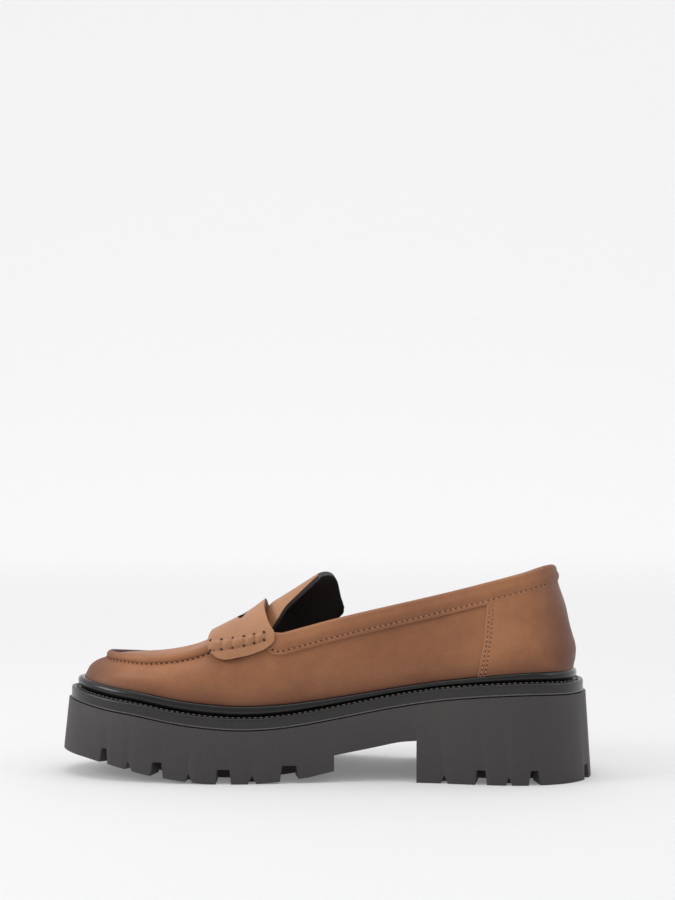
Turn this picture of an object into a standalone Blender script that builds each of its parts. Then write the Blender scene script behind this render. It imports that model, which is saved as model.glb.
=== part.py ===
"""Chunky lug sole loafer, a right shoe of about EU 37.

Metres, +Z up. The toe points to -X, the heel to +X, the medial (inner) side is -Y.
The origin is on the floor, under the middle of the shoe's box.
"""

import math
from collections import namedtuple

import bmesh
import bpy
import numpy as np
from mathutils import Vector

# Driving dimensions
SOLE_LENGTH = 0.2714
BALL_WIDTH = 0.100
LEDGE_HEIGHT = 0.050
BAND_HEIGHT = 0.0058
WALL_FLARE = 0.0027
BAND_STEP = 0.0013
WELT_WIDTH = 0.0059
BEAD_HEIGHT = 0.0054
HEEL_SKEW = 0.0050
BEAD_WIDTH = 0.0024
SWELL_START = 1.5
TOE_REACH = 0.0170
TOE_FAN = 0.0500
UPPER_WALL = 0.0022
BACK_HEIGHT = 0.0575
BACK_LEAN = 0.0102
INSTEP_RISE = 0.0950
INSOLE_THICKNESS = 0.0032
APRON_THICKNESS = 0.0014
APRON_LIP = 0.0028
LIP_WIDTH = 0.0033
STRAP_THICKNESS = 0.0013
ROLL_THICKNESS = 0.0022
TONGUE_THICKNESS = 0.0024
TONGUE_RADIUS = 0.0290
TONGUE_BEND = 0.0280
TONGUE_FALL = 2.0
COLLAR_BAND_HEIGHT = 0.0114
COLLAR_BAND_THICKNESS = 0.0016
COUNTER_THICKNESS = 0.0013
COLLAR_TILT = math.radians(5.2)
GROOVE_DEPTH = 0.0072
NOTCH_DEPTH = 0.0040
CHANNEL_WIDTH = 0.0055
EDGE_LUG_WIDTH = 0.0150
CLEARANCE = 0.0003
OVERRUN = 0.0200

# Mesh resolution
STATIONS = 40
RIB_STEPS = 10
SPLINE_STEPS = 24
TONGUE_STEPS = 11
SHARP_ANGLE = math.radians(35)
MERGE = 1e-5

# Places along the sole, as shares of its length from the toe
FOREFOOT_END = 0.516
HEEL_BREAST = 0.675
FLAT_START = 0.285
FLAT_END = 0.365

# The plan of the sole's bottom edge: shares of its length, and of the ball width from the toe-heel line
Plan = namedtuple("Plan", "along medial lateral")
PLAN = [
    Plan(0.000, -0.010, -0.010),
    Plan(0.022, -0.190, 0.160),
    Plan(0.075, -0.325, 0.285),
    Plan(0.150, -0.415, 0.385),
    Plan(0.250, -0.470, 0.465),
    Plan(0.335, -0.484, 0.508),
    Plan(0.420, -0.465, 0.517),
    Plan(0.510, -0.432, 0.488),
    Plan(0.600, -0.418, 0.415),
    Plan(0.690, -0.440, 0.330),
    Plan(0.770, -0.490, 0.265),
    Plan(0.850, -0.517, 0.235),
    Plan(0.915, -0.487, 0.205),
    Plan(0.960, -0.410, 0.128),
    Plan(0.989, -0.288, 0.008),
    Plan(1.000, -0.140, -0.140),
]

# The sole from the side: shares of the length, and of the ledge height at the heel
Side = namedtuple("Side", "along height")
BOTTOM = [
    Side(0.000, 0.240),
    Side(0.050, 0.208),
    Side(0.100, 0.160),
    Side(0.170, 0.076),
    Side(0.235, 0.026),
    Side(FLAT_START, 0.000),
    Side(FLAT_END, 0.000),
    Side(0.420, 0.022),
    Side(0.470, 0.058),
    Side(FOREFOOT_END, 0.114),
    Side(0.560, 0.114),
    Side(0.600, 0.000),
    Side(1.000, 0.000),
]
LEDGE = [
    Side(0.000, 0.888),
    Side(0.030, 0.866),
    Side(0.060, 0.836),
    Side(0.100, 0.800),
    Side(0.150, 0.764),
    Side(0.240, 0.680),
    Side(0.340, 0.636),
    Side(0.415, 0.652),
    Side(0.485, 0.704),
    Side(0.540, 0.758),
    Side(0.640, 0.862),
    Side(0.740, 0.944),
    Side(0.860, 0.992),
    Side(1.000, 0.978),
]
ARCH = [
    Side(FOREFOOT_END, 0.268),
    Side(0.590, 0.344),
    Side(0.640, 0.396),
    Side(HEEL_BREAST, 0.412),
]

# How much of its full height the bead shows, where the leather rolls over it
BEAD = [
    Side(0.000, 1.00),
    Side(0.400, 1.00),
    Side(0.500, 0.84),
    Side(0.600, 0.66),
    Side(0.740, 0.66),
    Side(0.860, 0.88),
    Side(1.000, 1.00),
]

# The last's crest: shares of the sole length, of the ball width, and of the instep rise over the floor
Crest = namedtuple("Crest", "along across height")
CREST = [
    Crest(0.100, -0.030, 0.620),
    Crest(0.150, -0.045, 0.632),
    Crest(0.190, -0.060, 0.638),
    Crest(0.230, -0.065, 0.656),
    Crest(0.262, -0.065, 0.680),
    Crest(0.290, -0.063, 0.718),
    Crest(0.320, -0.060, 0.768),
    Crest(0.355, -0.057, 0.832),
    Crest(0.390, -0.055, 0.904),
    Crest(0.440, -0.055, 0.990),
    Crest(0.485, -0.058, 1.068),
    Crest(0.560, -0.070, 1.200),
    Crest(0.660, -0.100, 1.330),
    Crest(1.000, -0.140, 1.400),
]

# How square the last's sections are, and how far their sides swell, as shares of the ball width
Section = namedtuple("Section", "along medial lateral swell")
SECTIONS = [
    Section(0.05, 2.1, 2.1, 0.006),
    Section(0.12, 2.5, 2.1, 0.014),
    Section(0.22, 3.0, 2.2, 0.026),
    Section(0.34, 2.7, 2.2, 0.034),
    Section(0.45, 2.5, 2.3, 0.024),
    Section(0.60, 2.5, 2.4, 0.012),
    Section(1.00, 2.5, 2.4, 0.000),
]

# The back seam from the side: shares of the back's height, and of its lean towards the ankle
Back = namedtuple("Back", "rise lean")
BACK = [
    Back(0.00, 0.00),
    Back(0.10, 0.00),
    Back(0.17, -0.09),
    Back(0.26, -0.13),
    Back(0.36, 0.02),
    Back(0.50, 0.24),
    Back(0.62, 0.38),
    Back(0.74, 0.60),
    Back(0.84, 0.79),
    Back(1.00, 1.00),
    Back(1.25, 1.30),
]
ARCHES_END = 0.355
WALLS_START = 0.680

# The topline from the side: shares of the sole length, and of the back's height over the heel ledge
TOPLINE = [
    Side(1.040, 1.000),
    Side(0.925, 0.985),
    Side(0.880, 0.920),
    Side(0.815, 0.838),
    Side(0.735, 0.742),
    Side(0.656, 0.655),
    Side(0.577, 0.570),
    Side(0.507, 0.490),
    Side(0.443, 0.408),
    Side(0.412, 0.377),
    Side(0.391, 0.425),
    Side(0.378, 0.580),
]
COUNTER_FRONT = [
    Side(0.803, 1.000),
    Side(0.799, 0.675),
    Side(0.796, 0.530),
    Side(0.792, 0.355),
    Side(0.785, 0.195),
    Side(0.7745, -0.100),
]

# The apron in plan
APRON = [
    Plan(0.085, -0.030, -0.030),
    Plan(0.092, -0.085, 0.035),
    Plan(0.114, -0.150, 0.100),
    Plan(0.157, -0.232, 0.178),
    Plan(0.198, -0.266, 0.222),
    Plan(0.240, -0.280, 0.248),
    Plan(0.280, -0.288, 0.262),
    Plan(0.318, -0.292, 0.268),
]

# The strap from the side: shares of the sole length, and of the instep rise
STRAP = [
    Side(0.279, 0.760),
    Side(0.281, 0.703),
    Side(0.292, 0.664),
    Side(0.303, 0.645),
    Side(0.318, 0.641),
    Side(0.341, 0.652),
    Side(0.369, 0.672),
    Side(0.388, 0.694),
    Side(0.402, 0.723),
    Side(0.407, 0.749),
    Side(0.405, 0.785),
    Side(0.396, 0.822),
    Side(0.389, 0.868),
    Side(0.384, 0.920),
    Side(0.382, 1.250),
]
STRAP_TOP_FRONT = Side(0.277, 1.250)
ROLL = [
    Side(0.304, 0.735),
    Side(0.290, 0.722),
    Side(0.287, 0.704),
    Side(0.296, 0.672),
    Side(0.305, 0.656),
    Side(0.318, 0.651),
    Side(0.341, 0.662),
    Side(0.369, 0.682),
    Side(0.386, 0.703),
    Side(0.397, 0.730),
    Side(0.400, 0.752),
    Side(0.396, 0.774),
    Side(0.383, 0.776),
]
STRAP_REAR_SHARE = 0.55
STRAP_THINS = (0.315, 0.345)

# The tongue by its crest line, with how far it reaches to each side of it
Tongue = namedtuple("Tongue", "along height medial lateral")
TONGUE = [
    Tongue(0.330, 0.742, 0.200, 0.250),
    Tongue(0.360, 0.796, 0.200, 0.260),
    Tongue(0.378, 0.842, 0.200, 0.270),
    Tongue(0.397, 0.910, 0.190, 0.285),
    Tongue(0.416, 0.945, 0.154, 0.298),
    Tongue(0.440, 0.988, 0.126, 0.305),
    Tongue(0.462, 1.028, 0.096, 0.305),
    Tongue(0.477, 1.055, 0.068, 0.300),
    Tongue(0.484, 1.067, 0.052, 0.288),
]

# The slit in the strap
SLIT_ALONG = 0.3415
SLIT_LENGTH = 0.0220
SLIT_WIDTH = 0.0050
SLIT_STEPS = 20
SLIT_BLUNTNESS = 0.3

# The lug openings along each edge: share of the length, width at the floor and at the top
Groove = namedtuple("Groove", "along foot head")
GROOVES = [
    Groove(0.090, 0.0050, 0.0030),
    Groove(0.192, 0.0066, 0.0047),
    Groove(0.3135, 0.0078, 0.0062),
    Groove(0.436, 0.0094, 0.0071),
    Groove(0.785, 0.0059, 0.0043),
    Groove(0.882, 0.0061, 0.0038),
]
NOTCHES = [
    Groove(0.138, 0.0040, 0.0002),
    Groove(0.250, 0.0036, 0.0002),
    Groove(0.3685, 0.0044, 0.0002),
    Groove(0.717, 0.0038, 0.0002),
    Groove(0.833, 0.0030, 0.0002),
]
TOE_SLOT = Groove(0.0, 0.0050, 0.0036)
HEEL_SLOTS = Groove(0.985, 0.0070, 0.0050)
CROSS_CHANNELS = [0.138, 0.250, 0.373, 0.470, 0.716, 0.830, 0.920]
CROSS_WIDTH = 0.0050
CROSS_SHARE = 0.94

# Colours are linear, each with its roughness
Finish = namedtuple("Finish", "colour roughness")
FINISHES = {
    "outsole_rubber": Finish((0.060, 0.052, 0.048), 0.75),
    "band_rubber": Finish((0.040, 0.034, 0.032), 0.45),
    "bead_gloss": Finish((0.006, 0.005, 0.005), 0.20),
    "upper_leather": Finish((0.270, 0.120, 0.062), 0.45),
    "strap_leather": Finish((0.370, 0.190, 0.105), 0.50),
    "lining": Finish((0.010, 0.009, 0.009), 0.60),
}


def clear_scene():
    """Empties the scene that Blender starts with."""
    for obj in list(bpy.data.objects):
        bpy.data.objects.remove(obj)


def along(share):
    """The x of a share of the sole's length from the toe."""
    return (share - 0.5) * SOLE_LENGTH


def smooth_path(points, steps=SPLINE_STEPS):
    """A centripetal Catmull-Rom curve through the points, as an array."""
    points = np.asarray(points, float)
    closed = np.allclose(points[0], points[-1])
    before = points[-2] if closed else 2 * points[0] - points[1]
    after = points[1] if closed else 2 * points[-1] - points[-2]
    padded = np.vstack([before, points, after])
    path = []
    for row in range(1, len(padded) - 2):
        quad = padded[row - 1 : row + 3]
        knots = [0.0]
        for here, there in zip(quad, quad[1:]):
            knots.append(knots[-1] + max(np.linalg.norm(there - here), 1e-9) ** 0.5)
        for t in np.linspace(knots[1], knots[2], steps, endpoint=False):
            path.append(spline_point(quad, knots, t))
    path.append(points[-1])
    return np.array(path)


def spline_point(quad, knots, t):
    """One point of the Catmull-Rom curve, by the pyramid of blends."""
    level = list(quad)
    for span in (1, 2, 3):
        blended = []
        for start in range(len(level) - 1):
            low = knots[1] if span == 3 else knots[start]
            high = knots[2] if span == 3 else knots[start + span]
            share = (t - low) / (high - low)
            blended.append(level[start] * (1 - share) + level[start + 1] * share)
        level = blended
    return level[0]


def height_line(rows, unit):
    """A function of x that gives the smooth height of a side table."""
    path = smooth_path([(along(row.along), row.height * unit) for row in rows])
    return lambda x: np.interp(x, path[:, 0], path[:, 1])


def straight_line(rows, unit):
    """A function of x that gives the height of a side table with straight stretches."""
    xs = [along(row.along) for row in rows]
    zs = [row.height * unit for row in rows]
    return lambda x: np.interp(x, xs, zs)


sole_bottom = straight_line(BOTTOM, LEDGE_HEIGHT)
ledge_top = height_line(LEDGE, LEDGE_HEIGHT)
bead_rise = height_line(BEAD, BEAD_HEIGHT)


def table_of(rows, column, unit):
    """A function of x that gives one column of a table, by the share along."""
    path = smooth_path([(along(row.along), getattr(row, column) * unit) for row in rows])
    return lambda x: np.interp(x, path[:, 0], path[:, 1])


def plan_loop():
    """The sole's bottom edge from the heel's tip, by the medial side and the toe, back to it."""
    medial = [(along(row.along), row.medial * BALL_WIDTH) for row in PLAN]
    lateral = [(along(row.along), row.lateral * BALL_WIDTH) for row in PLAN]
    return smooth_path(medial[::-1] + lateral[1:])[:-1]


def inset_sides(inset):
    """The sole's medial and lateral edges from toe to heel, moved inwards by the inset."""
    loop = plan_loop()
    ahead = np.roll(loop, -1, axis=0) - np.roll(loop, 1, axis=0)
    ahead /= np.linalg.norm(ahead, axis=1)[:, None]
    inward = np.stack([ahead[:, 1], -ahead[:, 0]], axis=1)
    moved = loop + inset * inward
    moved = np.roll(moved, -int(np.argmax(moved[:, 0])), axis=0)
    toe = int(np.argmin(moved[:, 0]))
    return moved[: toe + 1][::-1], np.vstack([moved[toe:], moved[:1]])


def stations(inset, count=STATIONS):
    """Rows of x, medial y and lateral y from toe to heel, close together at both ends."""
    medial, lateral = inset_sides(inset)
    angles = np.linspace(0, math.pi, count + 1)
    toe, heel = medial[0, 0], medial[-1, 0]
    xs = toe + (heel - toe) * (1 - np.cos(angles)) / 2
    near = np.interp(xs, medial[:, 0], medial[:, 1])
    far = np.interp(xs, lateral[:, 0], lateral[:, 1])
    return np.stack([xs, near, far], axis=1)


def finish(name):
    """The material of that name."""
    found = bpy.data.materials.get(name)
    if found:
        return found
    made = bpy.data.materials.new(name)
    made.use_nodes = True
    shader = made.node_tree.nodes["Principled BSDF"]
    shader.inputs["Base Color"].default_value = (*FINISHES[name].colour, 1.0)
    shader.inputs["Roughness"].default_value = FINISHES[name].roughness
    shader.inputs["Metallic"].default_value = 0.0
    return made


def add_object(name, mesh, material, collection):
    """An object of the mesh, with its finish, in the collection."""
    obj = bpy.data.objects.new(name, mesh)
    collection.objects.link(obj)
    if material:
        mesh.materials.append(finish(material))
    mesh.shade_smooth()
    mesh.set_sharp_from_angle(angle=SHARP_ANGLE)
    return obj


def loft(name, rings, material, collection, ring_closed, ends_closed):
    """A skin over rings of equally many points, with doubles merged."""
    shape = bmesh.new()
    grid = [[shape.verts.new(Vector(point)) for point in ring] for ring in rings]
    count = len(grid[0])
    for here, there in zip(grid, grid[1:]):
        for index in range(count if ring_closed else count - 1):
            following = (index + 1) % count
            shape.faces.new([here[index], here[following], there[following], there[index]])
    if ends_closed:
        shape.faces.new(grid[0][::-1])
        shape.faces.new(grid[-1])
    bmesh.ops.remove_doubles(shape, verts=shape.verts, dist=MERGE)
    bmesh.ops.dissolve_degenerate(shape, edges=shape.edges, dist=MERGE / 10)
    bmesh.ops.recalc_face_normals(shape, faces=shape.faces)
    mesh = bpy.data.meshes.new(name)
    shape.to_mesh(mesh)
    shape.free()
    return add_object(name, mesh, material, collection)


def as_cutter(obj):
    """Hides a cutter from the render."""
    obj.hide_render = True
    obj.display_type = "WIRE"
    return obj


def side_prism(name, outline, tilt=0.0):
    """A cutter with that outline in side view, as wide as the shoe and tilted about the X axis."""
    lean = math.tan(tilt)
    near, far = -BALL_WIDTH, BALL_WIDTH
    rings = [[(x, y, z - y * lean) for x, z in outline] for y in (near, far)]
    return as_cutter(loft(name, rings, None, CUTTERS, True, True))


def plan_prism(name, outline, low=-OVERRUN, high=2 * INSTEP_RISE):
    """A cutter with that outline in plan."""
    rings = [[(x, y, z) for x, y in outline] for z in (low, high)]
    return as_cutter(loft(name, rings, None, CUTTERS, True, True))


def boolean(obj, operation, cutter, solver="EXACT"):
    """Cuts the object with a cutter, or with a collection of them. MANIFOLD is for where EXACT fails."""
    modifier = obj.modifiers.new(operation.title(), "BOOLEAN")
    modifier.operation = operation
    modifier.solver = solver
    if isinstance(cutter, bpy.types.Collection):
        modifier.operand_type = "COLLECTION"
        modifier.collection = cutter
    else:
        modifier.object = cutter
    return obj


def side_outline(rows, unit, base=0.0):
    """The smooth outline of a side table, closed by a straight line."""
    return smooth_path([(along(row.along), base + row.height * unit) for row in rows], 4)


def grow(outline, amount):
    """A closed outline moved outwards by the amount."""
    points = np.asarray(outline, float)
    ahead = np.roll(points, -1, axis=0) - np.roll(points, 1, axis=0)
    ahead /= np.linalg.norm(ahead, axis=1)[:, None]
    outward = np.stack([ahead[:, 1], -ahead[:, 0]], axis=1)
    area = np.cross(points, np.roll(points, -1, axis=0)).sum()
    return points + outward * amount * math.copysign(1, area)


def plan_outline(rows):
    """The closed smooth outline of a plan table."""
    medial = [(along(row.along), row.medial * BALL_WIDTH) for row in rows]
    lateral = [(along(row.along), row.lateral * BALL_WIDTH) for row in rows]
    return smooth_path(medial[::-1] + lateral[1:], 5)


def loop_at(inset):
    """The sole's outline at an inset, as one closed row of points."""
    rows = stations(inset)
    near = [(x, y) for x, y, _ in rows]
    far = [(x, y) for x, _, y in rows[1:-1]]
    return near + far[::-1]


def slab(name, low, high, low_inset, high_inset, material):
    """A layer of the sole between two heights, with its own inset at each."""
    rings = []
    for under, over in zip(stations(low_inset), stations(high_inset)):
        (x0, near0, far0), (x1, near1, far1) = under, over
        rings.append(
            [
                (x0, near0, low(x0)),
                (x1, near1, high(x1)),
                (x1, far1, high(x1)),
                (x0, far0, low(x0)),
            ]
        )
    return loft(name, rings, material, SHOE, True, False)


def edge_frame(share, side):
    """The point of the sole's bottom edge at that share, with the direction inwards."""
    near, far = inset_sides(0.0)
    edge = near if side < 0 else far
    index = int(np.argmin(np.abs(edge[:, 0] - along(share))))
    index = min(max(index, 2), len(edge) - 3)
    ahead = edge[index + 2] - edge[index - 2]
    ahead /= np.linalg.norm(ahead)
    return edge[index], np.array([-ahead[1], ahead[0]]) * -side


def groove_cutter(name, groove, point, inwards, depth, reach):
    """A wedge that opens a slot through the edge, narrower at its head."""
    across = np.array([-inwards[1], inwards[0]])
    base = float(sole_bottom(point[0]))
    spread = (groove.foot - groove.head) * 0.5
    rings = []
    for distance in (-NOTCH_DEPTH, reach):
        middle = point + inwards * distance
        corners = [
            (-groove.foot / 2 - spread, -depth),
            (groove.foot / 2 + spread, -depth),
            (groove.head / 2, depth),
            (-groove.head / 2, depth),
        ]
        rings.append([(*(middle + across * side), base + rise) for side, rise in corners])
    return as_cutter(loft(name, rings, None, LUG_CUTTERS, True, True))


def channel_cutter():
    """The channel inside the edge lugs, all round the sole."""
    outer = loop_at(EDGE_LUG_WIDTH)
    inner = loop_at(EDGE_LUG_WIDTH + CHANNEL_WIDTH)
    rings = []
    for (x0, y0), (x1, y1) in zip(outer, inner):
        top0 = float(sole_bottom(x0)) + GROOVE_DEPTH
        top1 = float(sole_bottom(x1)) + GROOVE_DEPTH
        floor = -GROOVE_DEPTH
        rings.append([(x0, y0, floor), (x0, y0, top0), (x1, y1, top1), (x1, y1, floor)])
    rings.append(rings[0])
    return as_cutter(loft("tread_channel", rings, None, LUG_CUTTERS, True, False))


def cross_cutter(name, share):
    """A straight channel across the tread, between the sides of the ring channel."""
    x = along(share)
    rows = stations(EDGE_LUG_WIDTH + CHANNEL_WIDTH / 2)
    near = float(np.interp(x, rows[:, 0], rows[:, 1]))
    far = float(np.interp(x, rows[:, 0], rows[:, 2]))
    top = float(sole_bottom(x)) + GROOVE_DEPTH * CROSS_SHARE
    half = CROSS_WIDTH / 2
    corners = [(x - half, -GROOVE_DEPTH), (x + half, -GROOVE_DEPTH), (x + half, top), (x - half, top)]
    rings = [[(cx, y, cz) for cx, cz in corners] for y in (near, far)]
    return as_cutter(loft(name, rings, None, LUG_CUTTERS, True, True))


def make_outsole():
    """Forefoot, arch and heel block in one rubber piece, with its lugs."""
    step_line = lambda x: ledge_top(x) - BAND_HEIGHT - CLEARANCE
    sole = slab("outsole", sole_bottom, step_line, 0.0, WALL_FLARE, "outsole_rubber")
    roof = smooth_path([(along(row.along), row.height * LEDGE_HEIGHT) for row in ARCH], 6)
    floor = -GROOVE_DEPTH
    arch = [(roof[0][0], floor), *map(tuple, roof), (roof[-1][0], floor)]
    middle, breast = along((FOREFOOT_END + HEEL_BREAST) / 2), roof[-1][0]
    rings = []
    for y, skew in ((-BALL_WIDTH, -HEEL_SKEW), (BALL_WIDTH, HEEL_SKEW)):
        rings.append([(x + skew * max((x - middle) / (breast - middle), 0.0), y, z) for x, z in arch])
    gap = as_cutter(loft("arch_gap", rings, None, CUTTERS, True, True))
    boolean(sole, "DIFFERENCE", gap)
    for side, word in ((-1, "medial"), (1, "lateral")):
        for number, groove in enumerate(GROOVES + [HEEL_SLOTS]):
            point, inwards = edge_frame(groove.along, side)
            name = f"groove_{word}_{number}"
            groove_cutter(name, groove, point, inwards, GROOVE_DEPTH, EDGE_LUG_WIDTH + CHANNEL_WIDTH / 2)
        for number, notch in enumerate(NOTCHES):
            point, inwards = edge_frame(notch.along, side)
            groove_cutter(f"notch_{word}_{number}", notch, point, inwards, NOTCH_DEPTH, EDGE_LUG_WIDTH / 2)
    toe = np.array([along(0.0), PLAN[0].medial * BALL_WIDTH])
    reach = EDGE_LUG_WIDTH + CHANNEL_WIDTH / 2
    groove_cutter("groove_toe", TOE_SLOT, toe, np.array([1.0, 0.0]), NOTCH_DEPTH, reach)
    channel_cutter()
    for number, share in enumerate(CROSS_CHANNELS):
        cross_cutter(f"cross_{number}", share)
    return boolean(sole, "DIFFERENCE", LUG_CUTTERS, "MANIFOLD")


def make_band():
    """The satin step between the outsole and the ledge."""
    inset = WALL_FLARE + BAND_STEP
    low = lambda x: ledge_top(x) - BAND_HEIGHT
    return slab("midsole_band", low, ledge_top, inset, inset, "band_rubber")


def make_bead():
    """The round bead that hides the joint of leather and sole."""
    profile = [(0.0, 0.0), (0.55, 0.03), (0.90, 0.22), (1.0, 0.48), (0.90, 0.76), (0.55, 0.96), (0.0, 1.0)]
    rings = []
    loops = [loop_at(FEATHER - CLEARANCE - share * BEAD_WIDTH) for share, _ in profile]
    for index in range(len(loops[0])):
        ring = []
        for loop, (_, rise) in zip(loops, profile):
            x, y = loop[index]
            ring.append((x, y, float(ledge_top(x)) + CLEARANCE + rise * float(bead_rise(x))))
        rings.append(ring)
    rings.append(rings[0])
    return loft("welt_bead", rings, "bead_gloss", SHOE, True, False)


def make_insole():
    """The sock inside the shoe."""
    inset = FEATHER + UPPER_WALL + 2 * CLEARANCE
    low = lambda x: ledge_top(x) + CLEARANCE
    high = lambda x: ledge_top(x) + CLEARANCE + INSOLE_THICKNESS
    return slab("insole", low, high, inset, inset, "lining")


def smooth_step(low, high, value):
    """Goes from 0 to 1 between two values, without a corner."""
    share = min(max((value - low) / (high - low), 0.0), 1.0)
    return share * share * (3 - 2 * share)


def arch_rib(foot, squareness, swell):
    """A rib of the vamp, from the feather edge up and over to the crest."""
    x, y, out = foot
    toe = stations(FEATHER)[0][0]
    crest_x = x + TOE_REACH * (1 - smooth_step(toe, toe + TOE_FAN, x))
    start = np.array([x, y, float(ledge_top(x)) + CLEARANCE])
    crest = np.array([crest_x, float(crest_side(crest_x)), float(crest_height(crest_x))])
    points = []
    for angle in np.linspace(0, math.pi / 2, RIB_STEPS + 1):
        across = 1 - math.cos(angle) ** (2 / squareness) if angle < math.pi / 2 else 1.0
        rise = math.sin(angle) ** (2 / squareness)
        point = start + (crest - start) * np.array([across, across, rise])
        straight = SWELL_START * float(bead_rise(x))
        above = (point[2] - start[2] - straight) / (crest[2] - start[2] - straight)
        bulge = swell * math.sin(math.pi * max(above, 0.0)) if above < 1 else 0.0
        points.append(point + np.array([*(out * bulge), 0.0]))
    return np.array(points)


def wall_rib(foot):
    """A rib of the quarter or heel, from the feather edge up past the topline."""
    x, y, out = foot
    base = float(ledge_top(x)) + CLEARANCE
    points = []
    for share in np.linspace(0, BACK[-1].rise, RIB_STEPS + 1):
        lean = float(back_lean(share)) * BACK_LEAN
        points.append((x - out[0] * lean, y - out[1] * lean, base + share * BACK_HEIGHT))
    return np.array(points)


def last_rings():
    """The last as rings of ribs from the medial to the lateral feather edge, toe to heel."""
    rows = stations(FEATHER)
    outer = stations(FEATHER - CLEARANCE)
    rings = []
    for (x, near, far), (x1, near1, far1) in zip(rows, outer):
        walls = smooth_step(along(ARCHES_END), along(WALLS_START), x)
        ring = []
        for y, x_out, y_out, square in (
            (near, x1, near1, float(medial_square(x))),
            (far, x1, far1, float(lateral_square(x))),
        ):
            out = np.array([x_out - x, y_out - y])
            out /= max(np.linalg.norm(out), 1e-9)
            foot = (x, y, out)
            rib = arch_rib(foot, square, float(section_swell(x)))
            if walls > 0:
                rib = rib * (1 - walls) + wall_rib(foot) * walls
            ring.append(rib)
        rings.append([*ring[0], *ring[1][::-1]])
    return rings


def last_skin(name, lift, thickness, material, outward=True, weights=None, collection=None):
    """A skin of that thickness, lifted off the last along its normals."""
    obj = loft(name, last_rings(), material, collection or SHOE, False, False)
    mesh = obj.data
    shape = bmesh.new()
    shape.from_mesh(mesh)
    shape.normal_update()
    moved = [vertex.co + vertex.normal * lift for vertex in shape.verts]
    for vertex, place in zip(shape.verts, moved):
        vertex.co = place
    shape.to_mesh(mesh)
    shape.free()
    solid = obj.modifiers.new("Wall", "SOLIDIFY")
    solid.thickness = thickness
    solid.offset = 1.0 if outward else -1.0
    if weights:
        group = obj.vertex_groups.new(name="thickness")
        for vertex in mesh.vertices:
            group.add([vertex.index], weights(vertex.co), "REPLACE")
        solid.vertex_group = group.name
    return obj


def topline_outline(drop=0.0):
    """The side outline of all that lies over the topline, lowered by the drop."""
    line = side_outline(TOPLINE, BACK_HEIGHT, HEEL_LEDGE - drop)
    top = HEEL_LEDGE + BACK[-1].rise * BACK_HEIGHT + OVERRUN
    return [*map(tuple, line), (line[-1][0], top), (line[0][0], top)]


def make_upper():
    """Vamp and quarters in one hollow shell."""
    upper = last_skin("upper", 0.0, UPPER_WALL, "upper_leather", outward=False)
    opening = side_prism("topline_opening", topline_outline(), COLLAR_TILT)
    return boolean(upper, "DIFFERENCE", opening)


def make_apron():
    """The plug on the toe, with its raised lip."""
    apron = last_skin("apron", CLEARANCE, APRON_LIP, "upper_leather")
    outline = plan_outline(APRON)
    boolean(apron, "INTERSECT", plan_prism("apron_outline", outline))
    field = last_skin("apron_field", CLEARANCE + APRON_THICKNESS, 2 * APRON_LIP, None, collection=CUTTERS)
    inner = grow(outline, -LIP_WIDTH)
    inner[0][0] += OVERRUN
    inner[-1][0] += OVERRUN
    boolean(field, "INTERSECT", plan_prism("apron_inside", inner))
    return boolean(apron, "DIFFERENCE", as_cutter(field), "MANIFOLD")


def strap_outline():
    """The strap from the side, up over the crest."""
    line = side_outline(STRAP, INSTEP_RISE)
    last = (along(STRAP_TOP_FRONT.along), STRAP_TOP_FRONT.height * INSTEP_RISE)
    return [*map(tuple, line), last]


def strap_share(place):
    """How much of the strap's full thickness it has there: less behind the apron."""
    front, rear = along(STRAP_THINS[0]), along(STRAP_THINS[1])
    return 1 - (1 - STRAP_REAR_SHARE) * smooth_step(front, rear, place[0])


STRAP_LIFT = APRON_LIP + CLEARANCE + STRAP_THICKNESS


def make_strap():
    """The saddle strap, hollowed where it lies on the apron, with its slit."""
    strap = last_skin("saddle_strap", CLEARANCE, STRAP_LIFT, "strap_leather", weights=strap_share)
    boolean(strap, "INTERSECT", side_prism("strap_outline", strap_outline()))
    seat = last_skin("strap_seat", -UPPER_WALL, UPPER_WALL + APRON_LIP + 2 * CLEARANCE, None, collection=CUTTERS)
    boolean(seat, "INTERSECT", plan_prism("strap_seat_outline", grow(plan_outline(APRON), CLEARANCE)))
    boolean(strap, "DIFFERENCE", as_cutter(seat))
    x = along(SLIT_ALONG)
    middle = float(crest_side(x))
    lens = []
    for angle in np.linspace(0, 2 * math.pi, SLIT_STEPS, endpoint=False):
        bow = math.sin(angle) * abs(math.sin(angle)) ** SLIT_BLUNTNESS
        lens.append((x + bow * SLIT_WIDTH / 2, middle + math.cos(angle) * SLIT_LENGTH / 2))
    return boolean(strap, "DIFFERENCE", plan_prism("strap_slit", lens))


def make_rolls():
    """The stitched rolls at the ends of the strap."""
    for word, side in (("medial", -1), ("lateral", 1)):
        lift = 2 * CLEARANCE + STRAP_LIFT
        roll = last_skin(f"roll_{word}", lift, ROLL_THICKNESS, "strap_leather", weights=strap_share)
        outline = side_outline(ROLL, INSTEP_RISE)
        near = min(0.0, side * BALL_WIDTH)
        rings = [[(x, y, z) for x, z in outline] for y in (near, near + BALL_WIDTH)]
        prism = loft(f"roll_outline_{word}", rings, None, CUTTERS, True, True)
        boolean(roll, "INTERSECT", as_cutter(prism))


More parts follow.
